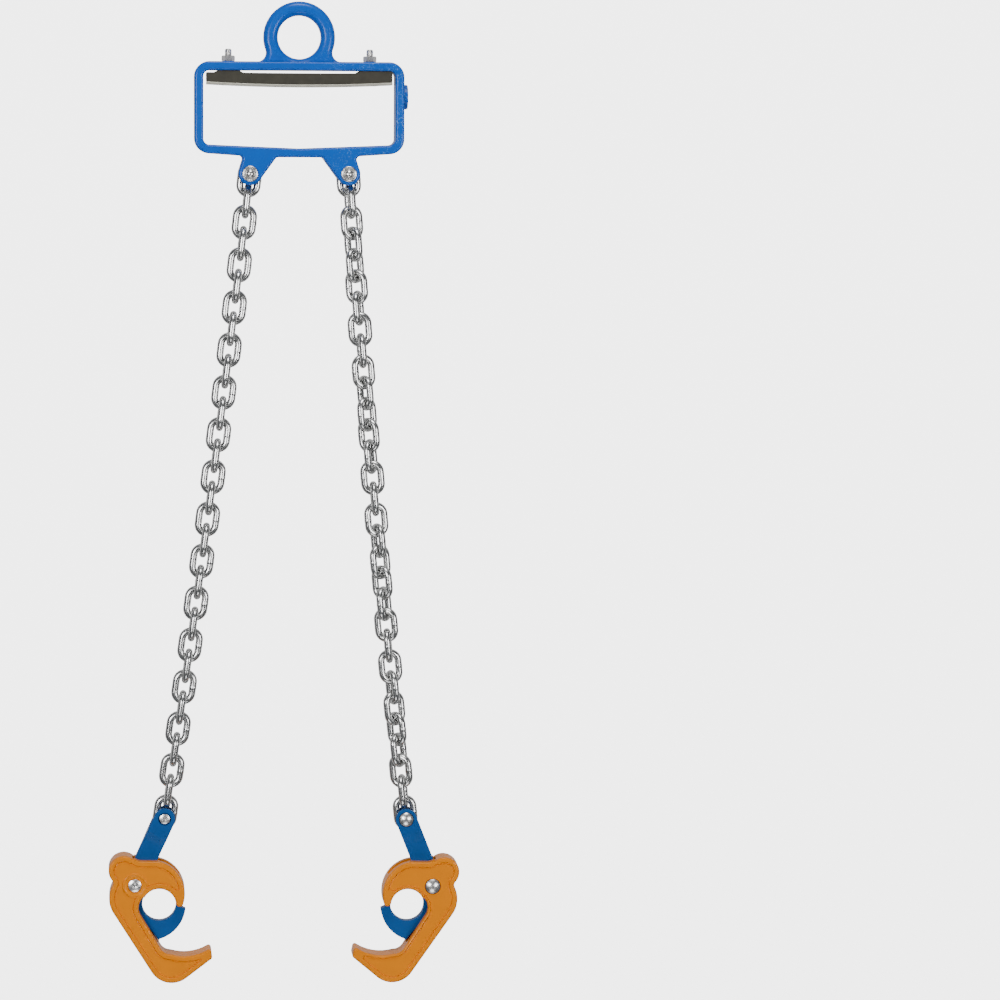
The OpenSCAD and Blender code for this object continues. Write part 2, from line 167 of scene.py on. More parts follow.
@dataclass(frozen=True)
class Outline:
    """A closed outline in the XZ plane, in millimetres, made of arcs and corner points."""

    stretches: tuple[Arc | Point, ...]
    step: float = 6.0

    def draw(self, bm: BMesh, y: float) -> list[BMEdge]:
        """Draws the outline by extruding and spinning one point.

        Args:
            bm: the mesh to draw in.
            y: the plane's place along Y.

        Returns:
            The outline's edges.
        """
        known = set(bm.edges)
        first = tip = None
        for stretch in self.stretches:
            is_arc = isinstance(stretch, Arc)
            begin = stretch.begin if is_arc else Vector((stretch[0], 0, stretch[1]))
            begin.y = y
            if tip is None:
                first = tip = bm.verts.new(begin)
            elif (tip.co - begin).length > MERGE_MM:
                tip = bmesh.ops.extrude_vert_indiv(bm, verts=[tip])["verts"][0]
                tip.co = begin
            if is_arc:
                tip = self._spin(bm, tip, stretch, y)
        bmesh.ops.contextual_create(bm, geom=[tip, first])
        ring = {v for e in bm.edges if e not in known for v in e.verts}
        bmesh.ops.remove_doubles(bm, verts=list(ring), dist=MERGE_MM)
        return [e for e in bm.edges if e not in known]

    def _spin(self, bm: BMesh, tip: BMVert, arc: Arc, y: float) -> BMVert:
        """Spins the drawing point along an arc.

        Args:
            bm: the mesh to draw in.
            tip: the point at the arc's start.
            arc: the arc to follow.
            y: the plane's place along Y.

        Returns:
            The point at the arc's end.
        """
        sweep = arc.end - arc.start
        steps = max(1, math.ceil(abs(sweep) / self.step))
        made = bmesh.ops.spin(
            bm, geom=[tip], cent=(arc.x, y, arc.z), axis=(0, -1, 0), angle=math.radians(sweep), steps=steps
        )
        return next(v for v in made["geom_last"] if isinstance(v, BMVert))


def circle(x: float, z: float, r: float, step: float = 6.0) -> Outline:
    """A full circle as an outline."""
    return Outline((Arc(x, z, r, 0, 360),), step)


def moved(made: dict, bm: BMesh, by: Sequence[float]) -> list[BMVert]:
    """Moves what an extrusion made.

    Args:
        made: the extrusion's result.
        bm: the mesh.
        by: the move, in millimetres.

    Returns:
        The moved points.
    """
    verts = [v for v in made["geom"] if isinstance(v, BMVert)]
    bmesh.ops.translate(bm, verts=verts, vec=by)
    return verts


def round_rims(bm: BMesh, rounding: float, segments: int) -> None:
    """Rounds the edges of a slab's front and back faces.

    Args:
        bm: the slab.
        rounding: the edge radius.
        segments: faces across the rounding.
    """
    rims = [
        e for e in bm.edges
        if abs(e.verts[0].co.y - e.verts[1].co.y) < MERGE_MM
        and len(e.link_faces) == 2
        and e.calc_face_angle() > math.radians(SHARP_DEG)
    ]
    bmesh.ops.bevel(
        bm, geom=rims, offset=rounding, offset_type="OFFSET", segments=segments, profile=0.5, affect="EDGES",
        material=-1, clamp_overlap=False,
    )


def slab(outlines: Sequence[Outline], depth: float, rounding: float = 0.0, segments: int = 4) -> BMesh:
    """A plate centred on Y, with rounded front and back edges.

    Args:
        outlines: the plate's outline, then those of its holes.
        depth: the thickness along Y.
        rounding: the edge radius.
        segments: faces across the rounding.

    Returns:
        The closed mesh, in millimetres.
    """
    bm = bmesh.new()
    edges = [e for outline in outlines for e in outline.draw(bm, -depth / 2)]
    if len(outlines) == 1:
        bmesh.ops.contextual_create(bm, geom=edges)
    else:
        bmesh.ops.triangle_fill(bm, use_beauty=True, use_dissolve=False, edges=edges, normal=(0, -1, 0))
    moved(bmesh.ops.extrude_face_region(bm, geom=bm.faces[:]), bm, (0, depth, 0))
    bmesh.ops.recalc_face_normals(bm, faces=bm.faces[:])
    if rounding:
        round_rims(bm, rounding, segments)
    return bm


def turned(profile: Sequence[Point], steps: int = 48) -> BMesh:
    """A solid of revolution about Y.

    Args:
        profile: points as radius and Y, from one end of the axis to the other.
        steps: faces round the axis.

    Returns:
        The closed mesh, in millimetres.
    """
    bm = bmesh.new()
    tip = bm.verts.new((profile[0][0], profile[0][1], 0))
    for r, y in profile[1:]:
        tip = bmesh.ops.extrude_vert_indiv(bm, verts=[tip])["verts"][0]
        tip.co = (r, y, 0)
    bmesh.ops.spin(
        bm, geom=bm.verts[:] + bm.edges[:], cent=(0, 0, 0), axis=(0, 1, 0), angle=math.tau, steps=steps,
        use_merge=True,
    )
    bmesh.ops.remove_doubles(bm, verts=bm.verts[:], dist=MERGE_MM / 10)
    bmesh.ops.holes_fill(bm, edges=bm.edges[:], sides=0)
    bmesh.ops.recalc_face_normals(bm, faces=bm.faces[:])
    return bm


def dome(r: float, y: float, rise: float, steps: int = 6) -> list[Point]:
    """Profile of a ball's cap, from its edge to its top.

    Args:
        r: radius of the edge.
        y: level of the edge.
        rise: height of the top, negative towards the front.
        steps: number of steps.

    Returns:
        Points as radius and Y.
    """
    high = abs(rise)
    ball = (r * r + high * high) / (2 * high)
    turns = [math.asin(r / ball) * (1 - k / steps) for k in range(steps + 1)]
    return [(ball * math.sin(a), y + rise / high * (ball * math.cos(a) - ball + high)) for a in turns]


def shift(bm: BMesh, place: Matrix) -> BMesh:
    """Moves a mesh and returns it."""
    bmesh.ops.transform(bm, matrix=place, verts=bm.verts[:])
    return bm


def gather(*meshes: BMesh) -> BMesh:
    """Puts several meshes into the first one, as separate shells, and returns it.

    Args:
        meshes: the meshes, of which all but the first are used up here.

    Returns:
        The first mesh.
    """
    whole = meshes[0]
    for other in meshes[1:]:
        spare = bpy.data.meshes.new("spare")
        other.to_mesh(spare)
        other.free()
        whole.from_mesh(spare)
        bpy.data.meshes.remove(spare)
    return whole


def carve(base: BMesh, tool: BMesh, how: Carve) -> BMesh:
    """Joins, cuts or intersects two closed meshes.

    Args:
        base: the mesh that is changed, used up here.
        tool: the mesh that changes it, used up here.
        how: what is done.

    Returns:
        The new mesh.
    """
    objects = []
    for bm in (base, tool):
        mesh = bpy.data.meshes.new("carving")
        bm.to_mesh(mesh)
        bm.free()
        objects.append(bpy.data.objects.new("carving", mesh))
        bpy.context.scene.collection.objects.link(objects[-1])
    boolean = objects[0].modifiers.new("carve", "BOOLEAN")
    boolean.object, boolean.operation, boolean.solver = objects[1], how.value, "EXACT"
    out = bmesh.new()
    out.from_object(objects[0], bpy.context.evaluated_depsgraph_get())
    for o in objects:
        mesh = o.data
        bpy.data.objects.remove(o)
        bpy.data.meshes.remove(mesh)
    bmesh.ops.remove_doubles(out, verts=out.verts[:], dist=MERGE_MM / 10)
    return out


class NodeKit:
    """Short ways to place and link shader nodes in one tree."""

    def __init__(self, tree: NodeTree) -> None:
        """Keeps the tree that nodes go into."""
        self.tree = tree

    def add(self, kind: str, **inputs: object) -> Node:
        """Places a node.

        Args:
            kind: the node's type name without its ShaderNode prefix.
            inputs: values or sockets for inputs, or the node's own settings in lower case.

        Returns:
            The new node.
        """
        node = self.tree.nodes.new(kind if kind.startswith("Node") else f"ShaderNode{kind}")
        for name, value in inputs.items():
            if hasattr(node, name):
                setattr(node, name, value)
                continue
            socket = node.inputs[name.replace("_", " ")]
            if isinstance(value, NodeSocket):
                self.tree.links.new(value, socket)
            else:
                socket.default_value = value
        return node

    def mix(self, factor: NodeSocket, low: Colour | NodeSocket, high: Colour | NodeSocket) -> NodeSocket:
        """Mixes two colours by a mask.

        Args:
            factor: the mask.
            low: colour where the mask is 0.
            high: colour where it is 1.

        Returns:
            The mixed colour.
        """
        node = self.tree.nodes.new("ShaderNodeMix")
        node.data_type = "RGBA"
        self.tree.links.new(factor, node.inputs[0])
        for socket, value in zip((node.inputs[6], node.inputs[7]), (low, high)):
            if isinstance(value, NodeSocket):
                self.tree.links.new(value, socket)
            else:
                socket.default_value = (*value, 1)
        return node.outputs[2]


def new_group(
    name: str, inputs: Sequence[str], outputs: Sequence[str]
) -> tuple[NodeTree, NodeKit, Node, Node]:
    """Starts a shader node group of plain values.

    Args:
        name: the group's name.
        inputs: names of its inputs.
        outputs: names of its outputs.

    Returns:
        The group, its node kit, and its input and output nodes.
    """
    tree = bpy.data.node_groups.new(name, "ShaderNodeTree")
    for title in inputs:
        tree.interface.new_socket(title, in_out="INPUT", socket_type="NodeSocketFloat")
    for title in outputs:
        tree.interface.new_socket(title, in_out="OUTPUT", socket_type="NodeSocketFloat")
    kit = NodeKit(tree)
    return tree, kit, kit.add("NodeGroupInput"), kit.add("NodeGroupOutput")


class Effects:
    """Shader groups that several finishes share."""

    def __init__(self) -> None:
        """Builds each group once."""
        self.drift = self._drift()
        self.peel = self._peel()
        self.painted_glints = self._painted_glints()

    def _drift(self) -> NodeTree:
        """Slow change of a value over the surface, between Low and High.

        Returns:
            The group.
        """
        tree, kit, given, out = new_group("tone_drift", ("Scale", "Low", "High"), ("Value",))
        place = kit.add("TexCoord").outputs["Object"]
        noise = kit.add("TexNoise", Vector=place, Scale=given.outputs["Scale"], Detail=4.0, Roughness=0.6)
        span = kit.add("MapRange", Value=noise.outputs["Fac"], From_Min=0.3, From_Max=0.7,
                       To_Min=given.outputs["Low"], To_Max=given.outputs["High"])
        tree.links.new(span.outputs["Result"], out.inputs["Value"])
        return tree

    def _peel(self) -> NodeTree:
        """Pebbled skin of sprayed enamel on a casting: soft cells over fine grain.

        Returns:
            The group.
        """
        tree, kit, given, out = new_group("enamel_peel", ("Scale", "Grain"), ("Height",))
        place = kit.add("TexCoord").outputs["Object"]
        cells = kit.add("TexVoronoi", feature="SMOOTH_F1", Vector=place, Scale=given.outputs["Scale"],
                        Smoothness=0.7)
        fine = kit.add("TexNoise", Vector=place, Scale=given.outputs["Grain"], Detail=3.0, Roughness=0.55)
        both = kit.add("Math", operation="ADD")
        tree.links.new(cells.outputs["Distance"], both.inputs[0])
        tree.links.new(fine.outputs["Fac"], both.inputs[1])
        tree.links.new(both.outputs[0], out.inputs["Height"])
        return tree

    def _painted_glints(self) -> NodeTree:
        """Mask of a hammered enamel's painted glints, bright flecks put where light would catch the paint,
        fading in along X between From and To.

        Returns:
            The group.
        """
        tree, kit, given, out = new_group("painted_glint_flecks", ("Scale", "From", "To"), ("Mask",))
        place = kit.add("TexCoord").outputs["Object"]
        cells = kit.add("TexVoronoi", Vector=place, Scale=given.outputs["Scale"], Randomness=1.0)
        spots = kit.add("MapRange", Value=cells.outputs["Distance"], From_Min=0.40, From_Max=0.12)
        along = kit.add("SeparateXYZ", Vector=place)
        fade = kit.add("MapRange", Value=along.outputs["X"], From_Min=given.outputs["From"],
                       From_Max=given.outputs["To"])
        patches = kit.add("TexNoise", Vector=place, Scale=60.0, Detail=2.0)
        some = kit.add("MapRange", Value=patches.outputs["Fac"], From_Min=0.38, From_Max=0.52)
        mask = spots.outputs["Result"]
        for other in (fade, some):
            both = kit.add("Math", operation="MULTIPLY")
            tree.links.new(mask, both.inputs[0])
            tree.links.new(other.outputs["Result"], both.inputs[1])
            mask = both.outputs[0]
        tree.links.new(mask, out.inputs["Mask"])
        return tree


def place_group(kit: NodeKit, tree: NodeTree, **values: float) -> NodeSocket:
    """Places a group with its own values.

    Args:
        kit: the material's node kit.
        tree: the group.
        values: values of its inputs.

    Returns:
        The group's first output.
    """
    node = kit.add("Group", node_tree=tree)
    for name, value in values.items():
        node.inputs[name.replace("_", " ")].default_value = value
    return node.outputs[0]


@dataclass(frozen=True)
class Finish:
    """One surface finish, dressed as a Principled shader with drift, skin and painted glint flecks."""

    slot: Slot
    colour: Colour
    shade: Colour
    metallic: float
    rough_low: float
    rough_high: float
    skin_mm: float
    skin_depth_mm: float
    skin_strength: float
    drift_mm: float
    specular: float = 0.5
    # The glint fields paint highlight flecks into the colour: their size, their light colour, and the X span
    # over which they fade in.
    glint_mm: float = 0.0
    glint_colour: Colour = (1.0, 1.0, 1.0)
    glint_span_m: Point = (0.015, 0.075)

    def material(self, effects: Effects) -> Material:
        """Builds the material.

        Args:
            effects: the shared shader groups.

        Returns:
            The material.
        """
        made = bpy.data.materials.new(self.slot.value)
        made.use_nodes = True
        made.node_tree.nodes.clear()
        kit = NodeKit(made.node_tree)
        drift_scale = 1 / (self.drift_mm * MM)
        skin_scale = 1 / (self.skin_mm * MM)
        tone = place_group(kit, effects.drift, Scale=drift_scale, Low=0.0, High=1.0)
        rough = place_group(kit, effects.drift, Scale=2 * drift_scale, Low=self.rough_low,
                            High=self.rough_high)
        peel = place_group(kit, effects.peel, Scale=skin_scale, Grain=3 * skin_scale)
        colour = kit.mix(tone, self.colour, self.shade)
        # Painted highlight: lighter flecks mixed into the base colour as glints of hammered enamel, fading in
        # along X towards the side where the light falls.
        if self.glint_mm:
            near, far = self.glint_span_m
            glint_mask = place_group(kit, effects.painted_glints, Scale=1 / (self.glint_mm * MM), From=near, To=far)
            colour = kit.mix(glint_mask, colour, self.glint_colour)
        bump = kit.add("Bump", Height=peel, Strength=self.skin_strength, Distance=self.skin_depth_mm * MM)
        shader = kit.add("BsdfPrincipled", Base_Color=colour, Roughness=rough, Normal=bump.outputs["Normal"])
        shader.inputs["Metallic"].default_value = self.metallic
        shader.inputs["Specular IOR Level"].default_value = self.specular
        out = kit.add("OutputMaterial")
        made.node_tree.links.new(shader.outputs["BSDF"], out.inputs["Surface"])
        return made


FINISHES = (
    # The frame's glint flecks are painted highlights on its hammered enamel, brightest towards +X, its
    # right-hand side.
    Finish(Slot.FRAME, (0.0, 0.104, 0.55), (0.0, 0.092, 0.49), metallic=0.0, rough_low=0.24, rough_high=0.32,
           skin_mm=1.6, skin_depth_mm=0.10, skin_strength=0.15, drift_mm=14, specular=0.28, glint_mm=2.2,
           glint_colour=(0.12, 0.30, 0.66)),
    Finish(Slot.LEVER, (0.0, 0.076, 0.29), (0.0, 0.067, 0.258), metallic=0.0, rough_low=0.30, rough_high=0.40,
           skin_mm=1.0, skin_depth_mm=0.05, skin_strength=0.2, drift_mm=10, specular=0.3),
    Finish(Slot.CLAMP, (0.80, 0.234, 0.0), (0.74, 0.215, 0.0), metallic=0.0, rough_low=0.18, rough_high=0.26,
           skin_mm=2.2, skin_depth_mm=0.06, skin_strength=0.10, drift_mm=18, specular=0.16),
    Finish(Slot.CHAIN, (0.72, 0.72, 0.72), (0.60, 0.60, 0.59), metallic=1.0, rough_low=0.20, rough_high=0.28,
           skin_mm=2.4, skin_depth_mm=0.03, skin_strength=0.03, drift_mm=9),
    Finish(Slot.PIN, (0.90, 0.89, 0.88), (0.78, 0.77, 0.76), metallic=1.0, rough_low=0.25, rough_high=0.33,
           skin_mm=2.4, skin_depth_mm=0.03, skin_strength=0.03, drift_mm=6),
    Finish(Slot.STRIP, (0.66, 0.64, 0.54), (0.54, 0.52, 0.44), metallic=1.0, rough_low=0.35, rough_high=0.5,
           skin_mm=0.8, skin_depth_mm=0.05, skin_strength=0.2, drift_mm=8),
    Finish(Slot.PAD, (0.060, 0.056, 0.042), (0.048, 0.045, 0.036), metallic=0.0, rough_low=0.62,
           rough_high=0.8, skin_mm=0.8, skin_depth_mm=0.1, skin_strength=0.5, drift_mm=12, specular=0.2),
)


class Workshop:
    """Turns finished meshes into pieces that ride on the frame's bodies."""

    def __init__(self) -> None:
        """Mixes each finish once."""
        effects = Effects()
        self.materials = {f.slot: f.material(effects) for f in FINISHES}

    def piece(
        self, name: str, bm: BMesh, place: Matrix, slot: Slot, body: str, nodes: Sequence[str]
    ) -> Object:
        """Makes a piece of a mesh.

        Args:
            name: the piece's name.
            bm: its mesh in millimetres, used up here.
            place: where it goes on the hanging lifter, in millimetres.
            slot: its finish.
            body: the body that it rides on.
            nodes: the nodes that it stands for.

        Returns:
            The new object.
        """
        mesh = bpy.data.meshes.new(name)
        bm.to_mesh(mesh)
        bm.free()
        mesh.transform(Matrix.Scale(MM, 4) @ LAY @ place)
        mesh.shade_smooth()
        mesh.set_sharp_from_angle(angle=math.radians(SHARP_DEG))
        mesh.materials.append(self.materials[slot])
        made = bpy.data.objects.new(name, mesh)
        bpy.context.scene.collection.objects.link(made)
        flat = made.modifiers.new("even_normals", "WEIGHTED_NORMAL")
        flat.keep_sharp = True
        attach(made, body)
        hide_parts(*nodes)
        LOG.info("%s: %d faces on %s", name, len(mesh.polygons), body)
        return made


@dataclass(frozen=True)
class LiftingFrame:
    """The cast frame: lifting eye, fork window, side boss and forked chain lugs."""

    half_w: float = 117.0
    top: float = -27.0
    bottom: float = -129.5
    wall: float = 10.0
    depth: float = 38.0
    corner_r: float = 17.0
    window_r: float = 7.0
    bow: float = 4.0
    rounding: float = 2.8
    eye_r: float = 40.0
    eye_hole_r: float = 24.0
    eye_depth: float = 22.0
    eye_round: float = 7.0
    eye_fillet: float = 10.0
    lug_r: float = 13.0
    lug_slot: float = 16.0
    lug_room: float = 17.0
    lug_inner_lean: float = 36.0
    lug_outer_lean: float = 18.0
    lug_fillet: float = 4.0
    fillet_rounds: int = 8
    boss_r: float = 13.75
    boss_h: float = 4.5
    boss_drop: float = 38.6
    boss_edge: float = 1.5
    boss_root: float = 2.0

    @property
    def lug(self) -> Vector:
        """Centre of the left lug's pin."""
        return joint_point("left_chain_swing")

    @property
    def bow_r(self) -> float:
        """Radius of the bottom bar's bow."""
        half = self.half_w - self.corner_r
        return (half * half + self.bow * self.bow) / (2 * self.bow)

    @property
    def bow_z(self) -> float:
        """Level of the bow's centre."""
        return self.bottom - self.bow + self.bow_r

    def _lug_fillet(self, lean: float, way: int) -> Vector:
        """Centre of the fillet that touches the left lug's edge and the bottom bar.

        Args:
            lean: the edge's lean from the vertical.
            way: 1 on the inner side, -1 on the outer.

        Returns:
            The fillet's centre.
        """
        normal = polar(-lean) if way > 0 else polar(180 - lean)
        up = Vector((math.sin(math.radians(lean)), 0, math.cos(math.radians(lean))))
        centre = self.lug + (self.lug_r + self.lug_fillet) * normal
        for _ in range(self.fillet_rounds):
            level = self.bow_z - math.sqrt((self.bow_r + self.lug_fillet) ** 2 - centre.x ** 2)
            centre = centre + (level - centre.z) / up.z * up
        return centre

    def _lower_edge(self) -> list[Arc]:
        """The lower edge from left to right, with both lugs.

        Returns:
            The edge's arcs.
        """
        outer = self._lug_fillet(self.lug_outer_lean, -1)
        inner = self._lug_fillet(self.lug_inner_lean, 1)
        out_turn, in_turn = (math.degrees(math.atan2(c.x, self.bow_z - c.z)) - 90 for c in (outer, inner))
        half_turn = math.degrees(math.asin((self.half_w - self.corner_r) / self.bow_r))
        lug_start, lug_end = 180 - self.lug_outer_lean, 360 - self.lug_inner_lean

        def bow(a: float, b: float) -> Arc:
            """The bow between two angles."""
            return Arc(0, self.bow_z, self.bow_r, a, b)

        return [
            bow(-90 - half_turn, out_turn),
            Arc(outer.x, outer.z, self.lug_fillet, out_turn + 180, -self.lug_outer_lean),
            Arc(self.lug.x, self.lug.z, self.lug_r, lug_start, lug_end),
            Arc(inner.x, inner.z, self.lug_fillet, 180 - self.lug_inner_lean, in_turn + 180),
            bow(in_turn, -180 - in_turn),
            Arc(-inner.x, inner.z, self.lug_fillet, -in_turn, self.lug_inner_lean),
            Arc(-self.lug.x, self.lug.z, self.lug_r, 540 - lug_end, 540 - lug_start),
            Arc(-outer.x, outer.z, self.lug_fillet, 180 + self.lug_outer_lean, -out_turn),
            bow(-180 - out_turn, half_turn - 90),
        ]

    def _bars(self) -> BMesh:
        """The bars and lugs round the fork window.

        Returns:
            The closed mesh.
        """
        half, high, low = self.half_w - self.corner_r, self.top - self.corner_r, self.bottom + self.corner_r
        outer = Outline((
            *self._lower_edge(),
            Arc(half, low, self.corner_r, -90, 0), Arc(half, high, self.corner_r, 0, 90),
            Arc(-half, high, self.corner_r, 90, 180), Arc(-half, low, self.corner_r, 180, 270),
        ))
        inset = self.half_w - self.wall - self.window_r
        high, low = self.top - self.wall - self.window_r, self.bottom + self.wall + self.window_r
        r = (inset * inset + self.bow * self.bow) / (2 * self.bow)
        dip = math.degrees(math.asin(inset / r))
        window = Outline((
            Arc(0, self.bottom + self.wall - self.bow + r, r, -90 - dip, -90 + dip),
            Arc(inset, low, self.window_r, -90, 0), Arc(inset, high, self.window_r, 0, 90),
            Arc(-inset, high, self.window_r, 90, 180), Arc(-inset, low, self.window_r, 180, 270),
        ))
        return slab((outer, window), self.depth, self.rounding)

    def _eye(self) -> BMesh:
        """The lifting eye and its filleted foot.

        Returns:
            The closed mesh, which reaches into the top bar.
        """
        z = self.top + self.eye_fillet
        x = math.sqrt((self.eye_r + self.eye_fillet) ** 2 - z * z)
        turn = math.degrees(math.atan2(z, x))
        deep = self.top - 4 * self.wall
        outer = Outline((
            Arc(x, z, self.eye_fillet, 270, 180 + turn),
            Arc(0, 0, self.eye_r, turn, 180 - turn),
            Arc(-x, z, self.eye_fillet, -turn, -90),
            (-x, deep), (x, deep),
        ), step=4.0)
        ring = slab((outer, circle(0, 0, self.eye_hole_r, 4.0)), self.eye_depth, self.eye_round, 8)
        root = self.top - self.wall / 2
        wide, low = 2 * x, 2 * deep
        below = Outline(((-wide, low), (wide, low), (wide, root), (-wide, root)))
        return carve(ring, slab((below,), 2 * self.depth), Carve.CUT)

    def _boss(self) -> BMesh:
        """The round boss on the right bar.

        Returns:
            The closed mesh, which reaches into the bar.
        """
        edge, root = self.boss_edge, -self.boss_root
        profile = [(0, root), (self.boss_r, root), (self.boss_r, self.boss_h - edge),
                   *((self.boss_r - edge + edge * math.cos(a), self.boss_h - edge + edge * math.sin(a))
                     for a in (math.pi / 6, math.pi / 3, math.pi / 2)),
                   (0, self.boss_h)]
        side = Matrix.Translation((self.half_w, 0, self.top - self.boss_drop))
        return shift(turned(profile), side @ Matrix.Rotation(-math.pi / 2, 4, "Z"))

    def _lug_cuts(self) -> BMesh:
        """Slots between the lugs' ears.

        Returns:
            The boxes to cut away.
        """
        cuts = []
        for way in (1, -1):
            centre = Vector((way * self.lug.x, 0, self.lug.z))
            low = -2 * self.lug_r
            box = Outline(((low, low), (-low, low), (-low, self.lug_room), (low, self.lug_room)))
            cuts.append(shift(slab((box,), self.lug_slot), Matrix.Translation(centre)))
        return gather(*cuts)

    def build(self, shop: Workshop) -> None:
        """Casts the frame.

        Args:
            shop: where pieces are made.
        """
        casting = carve(self._bars(), self._eye(), Carve.JOIN)
        casting = carve(casting, self._boss(), Carve.JOIN)
        casting = carve(casting, self._lug_cuts(), Carve.CUT)
        nodes = ["lifting_frame", "lifting_eye"]
        shop.piece("lifting_frame_casting", casting, Matrix(), Slot.FRAME, "frame", nodes)


@dataclass(frozen=True)
class ForkPad:
    """The rubber pad in the window, its steel strip, and the bolts and nuts that hold them."""

    level: float = LiftingFrame.top - LiftingFrame.wall
    pad_t: float = 12.6
    strip_t: float = 3.0
    depth: float = 34.0
    end: float = 103.5
    sag: float = 2.8
    bolt_x: float = 79.0
    flat: float = 12.0
    ramp: float = 4.0
    rest_gap: float = 2.2
    bolt_r: float = 4.0
    thread_pitch: float = 1.25
    thread_depth: float = 0.55
    bolt_rise: float = 14.0
    frame_top: float = LiftingFrame.top
    tip_len: float = 1.0
    tip_in: float = 0.8
    nut_w: float = 13.0
    nut_h: float = 6.5
    nut_edge: float = 1.2
    nut_clear: float = 0.2
    segments: int = 104
    pad_round: float = 0.8
    strip_round: float = 0.5

    def _bow(self, x: float) -> float:
        """How far the pad's lower face hangs at x."""
        return self.sag * (1 - (x / self.end) ** 2)

    def _drop(self, x: float) -> float:
        """How far the pad's upper face lies below the bar: it touches round the bolts and at its right end.

        Args:
            x: the place along the bar.

        Returns:
            The gap in millimetres.
        """
        off = self.bolt_x - x if x > 0 else abs(x + self.bolt_x)
        share = min(1.0, max(0.0, (off - self.flat) / self.ramp))
        return share * (self.rest_gap + (self.sag - self.rest_gap) * (1 - (x / self.end) ** 2))

    def _layer(self, top: float, thick: float, rounding: float, patched: bool) -> BMesh:
        """A layer that follows the pad's bow.

        Args:
            top: depth of its upper face below the bar.
            thick: its thickness.
            rounding: its edge radius.
            patched: whether its upper face has patches round the bolts.

        Returns:
            The closed mesh.
        """
        bm = bmesh.new()
        bmesh.ops.create_grid(bm, x_segments=self.segments, y_segments=1, size=1)
        bmesh.ops.scale(bm, verts=bm.verts[:], vec=(self.end, self.depth / 2, 1))
        moved(bmesh.ops.extrude_face_region(bm, geom=bm.faces[:]), bm, (0, 0, -thick))
        for v in bm.verts:
            is_patched = patched and v.co.z > -thick / 2
            v.co.z += self.level - top - (self._drop(v.co.x) if is_patched else self._bow(v.co.x))
        bmesh.ops.recalc_face_normals(bm, faces=bm.faces[:])
        rims = [e for e in bm.edges if e.calc_face_angle() > math.radians(SHARP_DEG)]
        bmesh.ops.bevel(bm, geom=rims, offset=rounding, offset_type="OFFSET", segments=3, profile=0.5,
                        affect="EDGES", material=-1, clamp_overlap=True)
        return bm

    def _stud(self) -> BMesh:
        """A bolt along Y, from its countersunk head in the strip to its threaded, chamfered tip.

        Returns:
            The closed mesh.
        """
        top = self.frame_top + self.bolt_rise
        core = self.bolt_r - self.thread_depth
        turns = int((self.bolt_rise + self.nut_h) / self.thread_pitch)
        under = self.level - self.pad_t - self._bow(self.bolt_x)
        head = under - self.strip_t
        profile = [(0.0, head), (self.bolt_r + self.strip_t, head), (self.bolt_r, under)]
        start = top - self.tip_len - turns * self.thread_pitch
        for k in range(turns):
            y = start + k * self.thread_pitch
            profile += [(core, y), (self.bolt_r, y + self.thread_pitch / 2)]
        profile += [(core, top - self.tip_len), (core - self.tip_in, top), (0.0, top)]
        return turned(profile, 32)

    def _nut(self) -> BMesh:
        """A chamfered hexagon nut along Y, centred on the origin.

        Returns:
            The closed mesh.
        """
        corner = self.nut_w / math.sqrt(3)
        six = Outline(tuple((corner * math.cos(a), corner * math.sin(a))
                            for a in (math.tau * k / 6 for k in range(6))))
        bm = slab((six, circle(0, 0, self.bolt_r)), self.nut_h)
        half, flat, wide = self.nut_h / 2, self.nut_w / 2, corner + self.nut_clear
        edge = half - self.nut_edge
        chamfer = turned([(0, -half), (flat, -half), (wide, -edge), (wide, edge), (flat, half), (0, half)])
        return carve(bm, chamfer, Carve.KEEP)

    def build(self, shop: Workshop) -> None:
        """Makes the pad, the strip, the bolts and the nuts.

        Args:
            shop: where pieces are made.
        """
        here = Matrix()
        pad = self._layer(0.0, self.pad_t, self.pad_round, True)
        shop.piece("fork_pad_rubber", pad, here, Slot.PAD, "frame", ["fork_pad"])
        strip = self._layer(self.pad_t, self.strip_t, self.strip_round, False)
        shop.piece("pad_strip_steel", strip, here, Slot.STRIP, "frame", ["pad_strip"])
        upright = Matrix.Rotation(math.pi / 2, 4, "X")
        places = [Matrix.Translation((way * self.bolt_x, 0, 0)) for way in (-1, 1)]
        bolts = gather(*(shift(self._stud(), at @ upright) for at in places))
        shop.piece("pad_bolt_studs", bolts, here, Slot.PIN, "frame", ["pad_bolts"])
        seat = Matrix.Translation((0, 0, self.frame_top + self.nut_h / 2))
        nuts = gather(*(shift(self._nut(), at @ seat @ upright) for at in places))
        shop.piece("pad_bolt_nuts", nuts, here, Slot.PIN, "frame", ["pad_nuts"])


